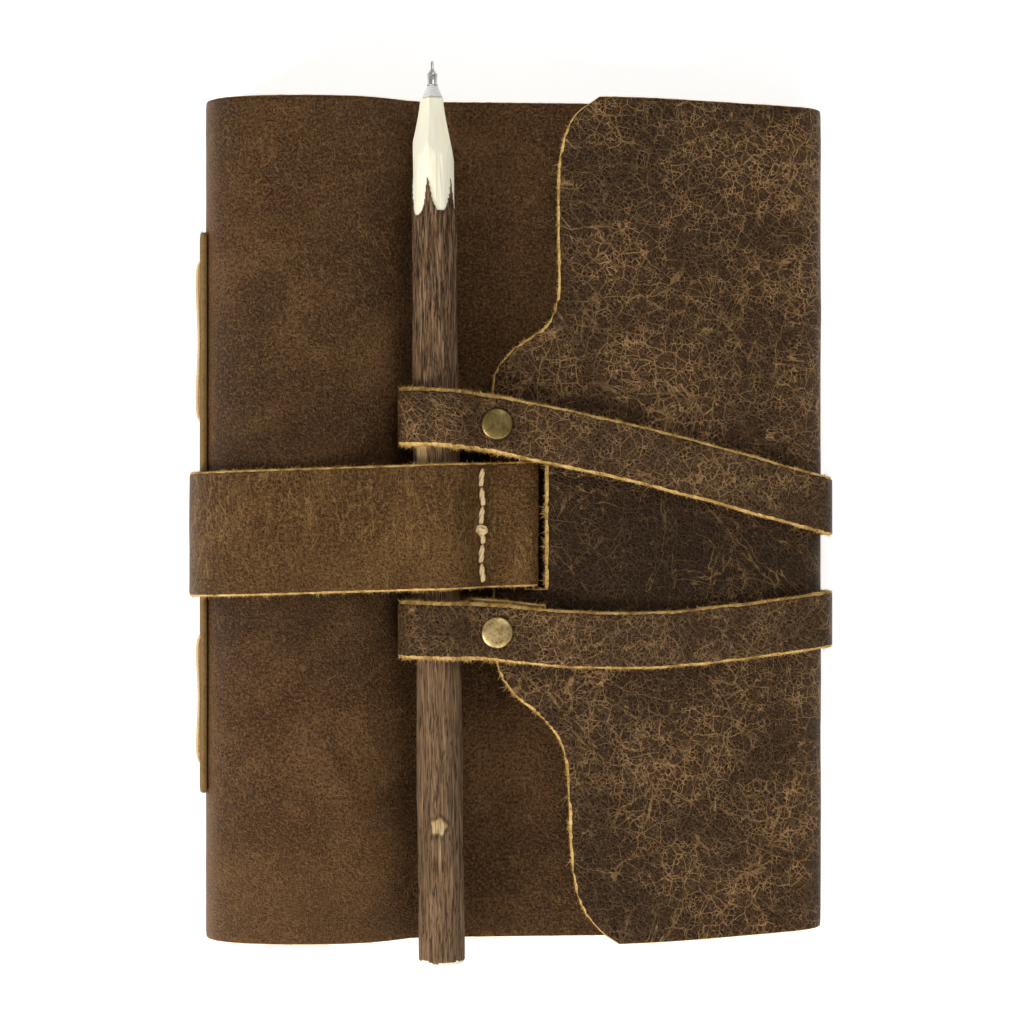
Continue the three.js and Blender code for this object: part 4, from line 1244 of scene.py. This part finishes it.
def bark_marks(angle, y):
    """How much of a knot, its halo and the bare streaks there is at a point of the bark."""
    # a bare strip beside the upper loop, where the bark has come away
    strip = smooth((angle - 1.95) / 0.12) * smooth((2.62 - angle) / 0.12)
    strip *= smooth((y - 6) / 3) * smooth((19 - y) / 3)
    # the cut-off twig knot low on the barrel, with a bare streak below it
    dx, dy = (angle - KNOT_ANGLE) * PEN_R, y - KNOT_Y
    away = math.hypot(dx / 2.1, dy / 2.0) * (1 + 0.13 * math.cos(5 * math.atan2(dy, dx) + 0.6))
    knot = smooth((1.12 - away) / 0.3)
    halo = smooth((1.75 - away) / 0.5) * (1 - knot)
    streak = 0.75 * smooth((0.55 - abs(dx + 0.1)) / 0.5) * smooth((-1 - dy) / 2) * smooth((dy + 12) / 6)
    return knot, halo, min(1.0, max(knot, streak, strip * 0.8))


def barrel_point(angle, y):
    """The barrel's radius, and how bare and how knotty it is."""
    c, s = math.cos(angle), math.sin(angle)
    down = BARREL_END - y
    r = PEN_R - 0.42 + 0.28 * noise.noise(Vector((c * 2.2, y / 26, s * 2.2)))
    r += 0.16 * noise.noise(Vector((c * 9, y / 7, s * 9)))
    r += 0.13 * noise.noise(Vector((c * 20, y / 16, s * 20 + 4)))
    r -= 0.12 * smooth((y - 20) / 60)
    wood = 0.0
    limit = facet_end(angle) + 0.5 * noise.noise(Vector((angle * 6, 2.0, 7.7)))
    if down < limit:
        wood = 1.0
        r = min(r - 0.45, whittled_radius(angle, y))
    elif down < limit + 0.6:
        r -= 0.2
    knot, halo, tan = bark_marks(angle, y)
    r += 0.34 * knot - 0.5 * halo
    if down > BARREL - 0.9 - 0.6 * noise.noise(Vector((c * 2, 1.0, 3.0))):
        wood = 0.9
        r -= 0.22
    return r, wood, tan


def make_pen():
    sides, along, rings = 120, 620, 9
    turns = around(sides)
    points, flats, bare, knots, faces = [], [], [], [], []

    def put(r, y, angle, flat, wood, tan):
        points.append((r * math.cos(angle), y, r * math.sin(angle)))
        flats.append(flat)
        bare.append(wood)
        knots.append(tan)

    for i in range(along + 1):
        y = PEN_LOW + BARREL * i / along
        for angle in turns:
            r, wood, tan = barrel_point(angle, y)
            put(r - 0.35 if i == 0 else r, y, angle, (angle * PEN_R, y), wood, tan)
    for i in range(along):
        for k in range(sides):
            a, b = i * sides + k, i * sides + (k + 1) % sides
            faces.append((a, a + sides, b + sides, b))
    # the sawn end, with a pale rim of wood and growth rings
    base = len(points)
    for ring in range(1, rings + 1):
        r = (PEN_R - 0.9) * (1 - ring / (rings + 0.6))
        y = PEN_LOW - 0.05 + 0.04 * math.sin(ring * 2.1)
        for angle in turns:
            put(r, y, angle, (angle * r, ring * 2.0), 0.75 if ring > 1 else 0.9, 0.75 if ring % 2 else 0.35)
    previous = 0
    for ring in range(rings):
        inner = base + ring * sides
        for k in range(sides):
            after = (k + 1) % sides
            faces.append((previous + after, inner + after, inner + k, previous + k))
        previous = inner
    faces.append(tuple(previous + k for k in range(sides)))
    # the drilled mouth that holds the collar
    mouth = len(points)
    bore, depth = COLLAR_SEAT
    for y in (BARREL_END, BARREL_END - depth):
        for angle in turns:
            put(bore, y, angle, (angle * bore, y), 1.0, 0.0)
    for start, end in ((along * sides, mouth), (mouth, mouth + sides)):
        for k in range(sides):
            after = (k + 1) % sides
            faces.append((start + k, end + k, end + after, start + after))
    faces.append(tuple(mouth + sides + k for k in range(sides)))
    barrel = mesh_object("twig_barrel", pen_place(points), faces, flats, [bark_material()])
    for name, values in (("bare", bare), ("knot", knots)):
        barrel.data.attributes.new(name, "FLOAT", "POINT").data.foreach_set("value", values)
    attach(barrel, "pen")
    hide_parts("pen_barrel")


def metal_material(name, colour, rough, metallic):
    m = Nodes(name)
    place = m.place()
    wear = m.noise(m.mapping(place, (200, 2500, 200)), 3, 3, 0.6)
    tone = m.mix(m.span(wear, 0.3, 0.7), shade(colour, 0.72), colour)
    polish = m.span(wear, 0.3, 0.7, rough, rough + 0.12)
    return m.surface(tone, polish, m.bump(wear, 0.00003, 0.4), metallic=metallic)


def pen_turned(name, profile, material, body_node, sides=40):
    """A turned piece about the pen's axis. Each profile point is a radius and how far past the barrel."""
    along_pen = [(r, BARREL_END + y) for r, y in profile]
    verts, faces = lathe(along_pen, sides, lambda across, up, along: (across, along, up))
    faces = [tuple(reversed(f)) for f in faces]
    flats = [(v[0], v[1]) for v in verts]
    piece = mesh_object(name, pen_place(verts), faces, flats, [material])
    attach(piece, "pen")
    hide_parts(body_node)


def make_pen_fittings():
    steel = metal_material("pen_tip_metal", (0.62, 0.60, 0.56), 0.24, 1.0)
    plastic = metal_material("pen_collar_plastic", (0.86, 0.85, 0.80), 0.35, 0.0)
    collar = [(1.5, -3.5), (1.5, 0), (2.35, 0.1), (2.4, 0.5), (2.2, 0.9), (1.75, 1.9), (1.4, 2.8), (1.3, 3.0)]
    tip = [(0.9, 2.9), (1.25, 3.1), (1.3, 3.4), (1.18, 3.55), (1.2, 5.6), (1.28, 5.8), (1.1, 6.2), (0.6, 6.9),
           (0.4, 7.3), (0.36, 8.6), (0.28, 9.05), (0.1, 9.1)]
    refill = [(1.2, -65), (1.55, -64.6), (1.6, -30), (1.6, -6.5), (1.2, -6.1)]
    pen_turned("pen_collar_turned", collar, plastic, "pen_collar")
    pen_turned("pen_tip_turned", tip, steel, "pen_tip")
    tube = metal_material("refill_tube", (0.80, 0.80, 0.76), 0.3, 0.0)
    pen_turned("pen_refill_tube", refill, tube, "pen_refill", 20)


# Stage.
def make_stage():
    mesh = bpy.data.meshes.new("floor")
    half = 3.0
    corners = [(-half, -half, 0), (half, -half, 0), (half, half, 0), (-half, half, 0)]
    mesh.from_pydata(corners, [], [(0, 1, 2, 3)])
    floor = bpy.data.objects.new("floor", mesh)
    bpy.context.scene.collection.objects.link(floor)
    floor.location.z = -0.0002
    m = Nodes("bright_paper_sweep")
    mesh.materials.append(m.surface((0.93, 0.93, 0.93), 0.9, specular=0.1))
    m.shader.inputs["Emission Color"].default_value = (1, 1, 1, 1)
    m.shader.inputs["Emission Strength"].default_value = 0.5


def add_light(name, place, size, power):
    aim = Vector((0, 0, 0.02))
    data = bpy.data.lights.new(name, "AREA")
    data.shape = "DISK"
    data.size = size
    data.energy = power
    light = bpy.data.objects.new(name, data)
    light.location = place
    light.rotation_euler = (aim - Vector(place)).to_track_quat("-Z", "Y").to_euler()
    bpy.context.scene.collection.objects.link(light)


def make_lights():
    world = bpy.data.worlds.new("studio")
    world.use_nodes = True
    sky = world.node_tree.nodes["Background"]
    sky.inputs["Color"].default_value = (1, 1, 1, 1)
    sky.inputs["Strength"].default_value = 0.42
    bpy.context.scene.world = world
    add_light("left_low_softbox", (-0.75, -0.55, 0.62), 0.45, 9)
    add_light("low_softbox", (0.25, -0.95, 0.7), 0.6, 4)
    add_light("top_softbox", (0.35, 0.8, 0.9), 0.7, 3)


def make_camera():
    data = bpy.data.cameras.new("camera")
    data.sensor_width = 36
    data.lens = 94.5
    camera = bpy.data.objects.new("camera", data)
    camera.location = (0, 0, 0.680)
    bpy.context.scene.collection.objects.link(camera)
    bpy.context.scene.camera = camera
    bpy.context.scene.view_settings.view_transform = "Standard"


make_camera()
make_stage()
make_lights()
make_cover()
make_flap()
make_patch()
make_strap()
make_strap_back()
make_tail("upper")
make_tail("lower")
make_strap_thread()
make_binding_threads()
for section in range(SIGNATURES):
    make_signature(section)
for which in ("upper", "lower"):
    make_rivet(which)
make_pen()
make_pen_fittings()
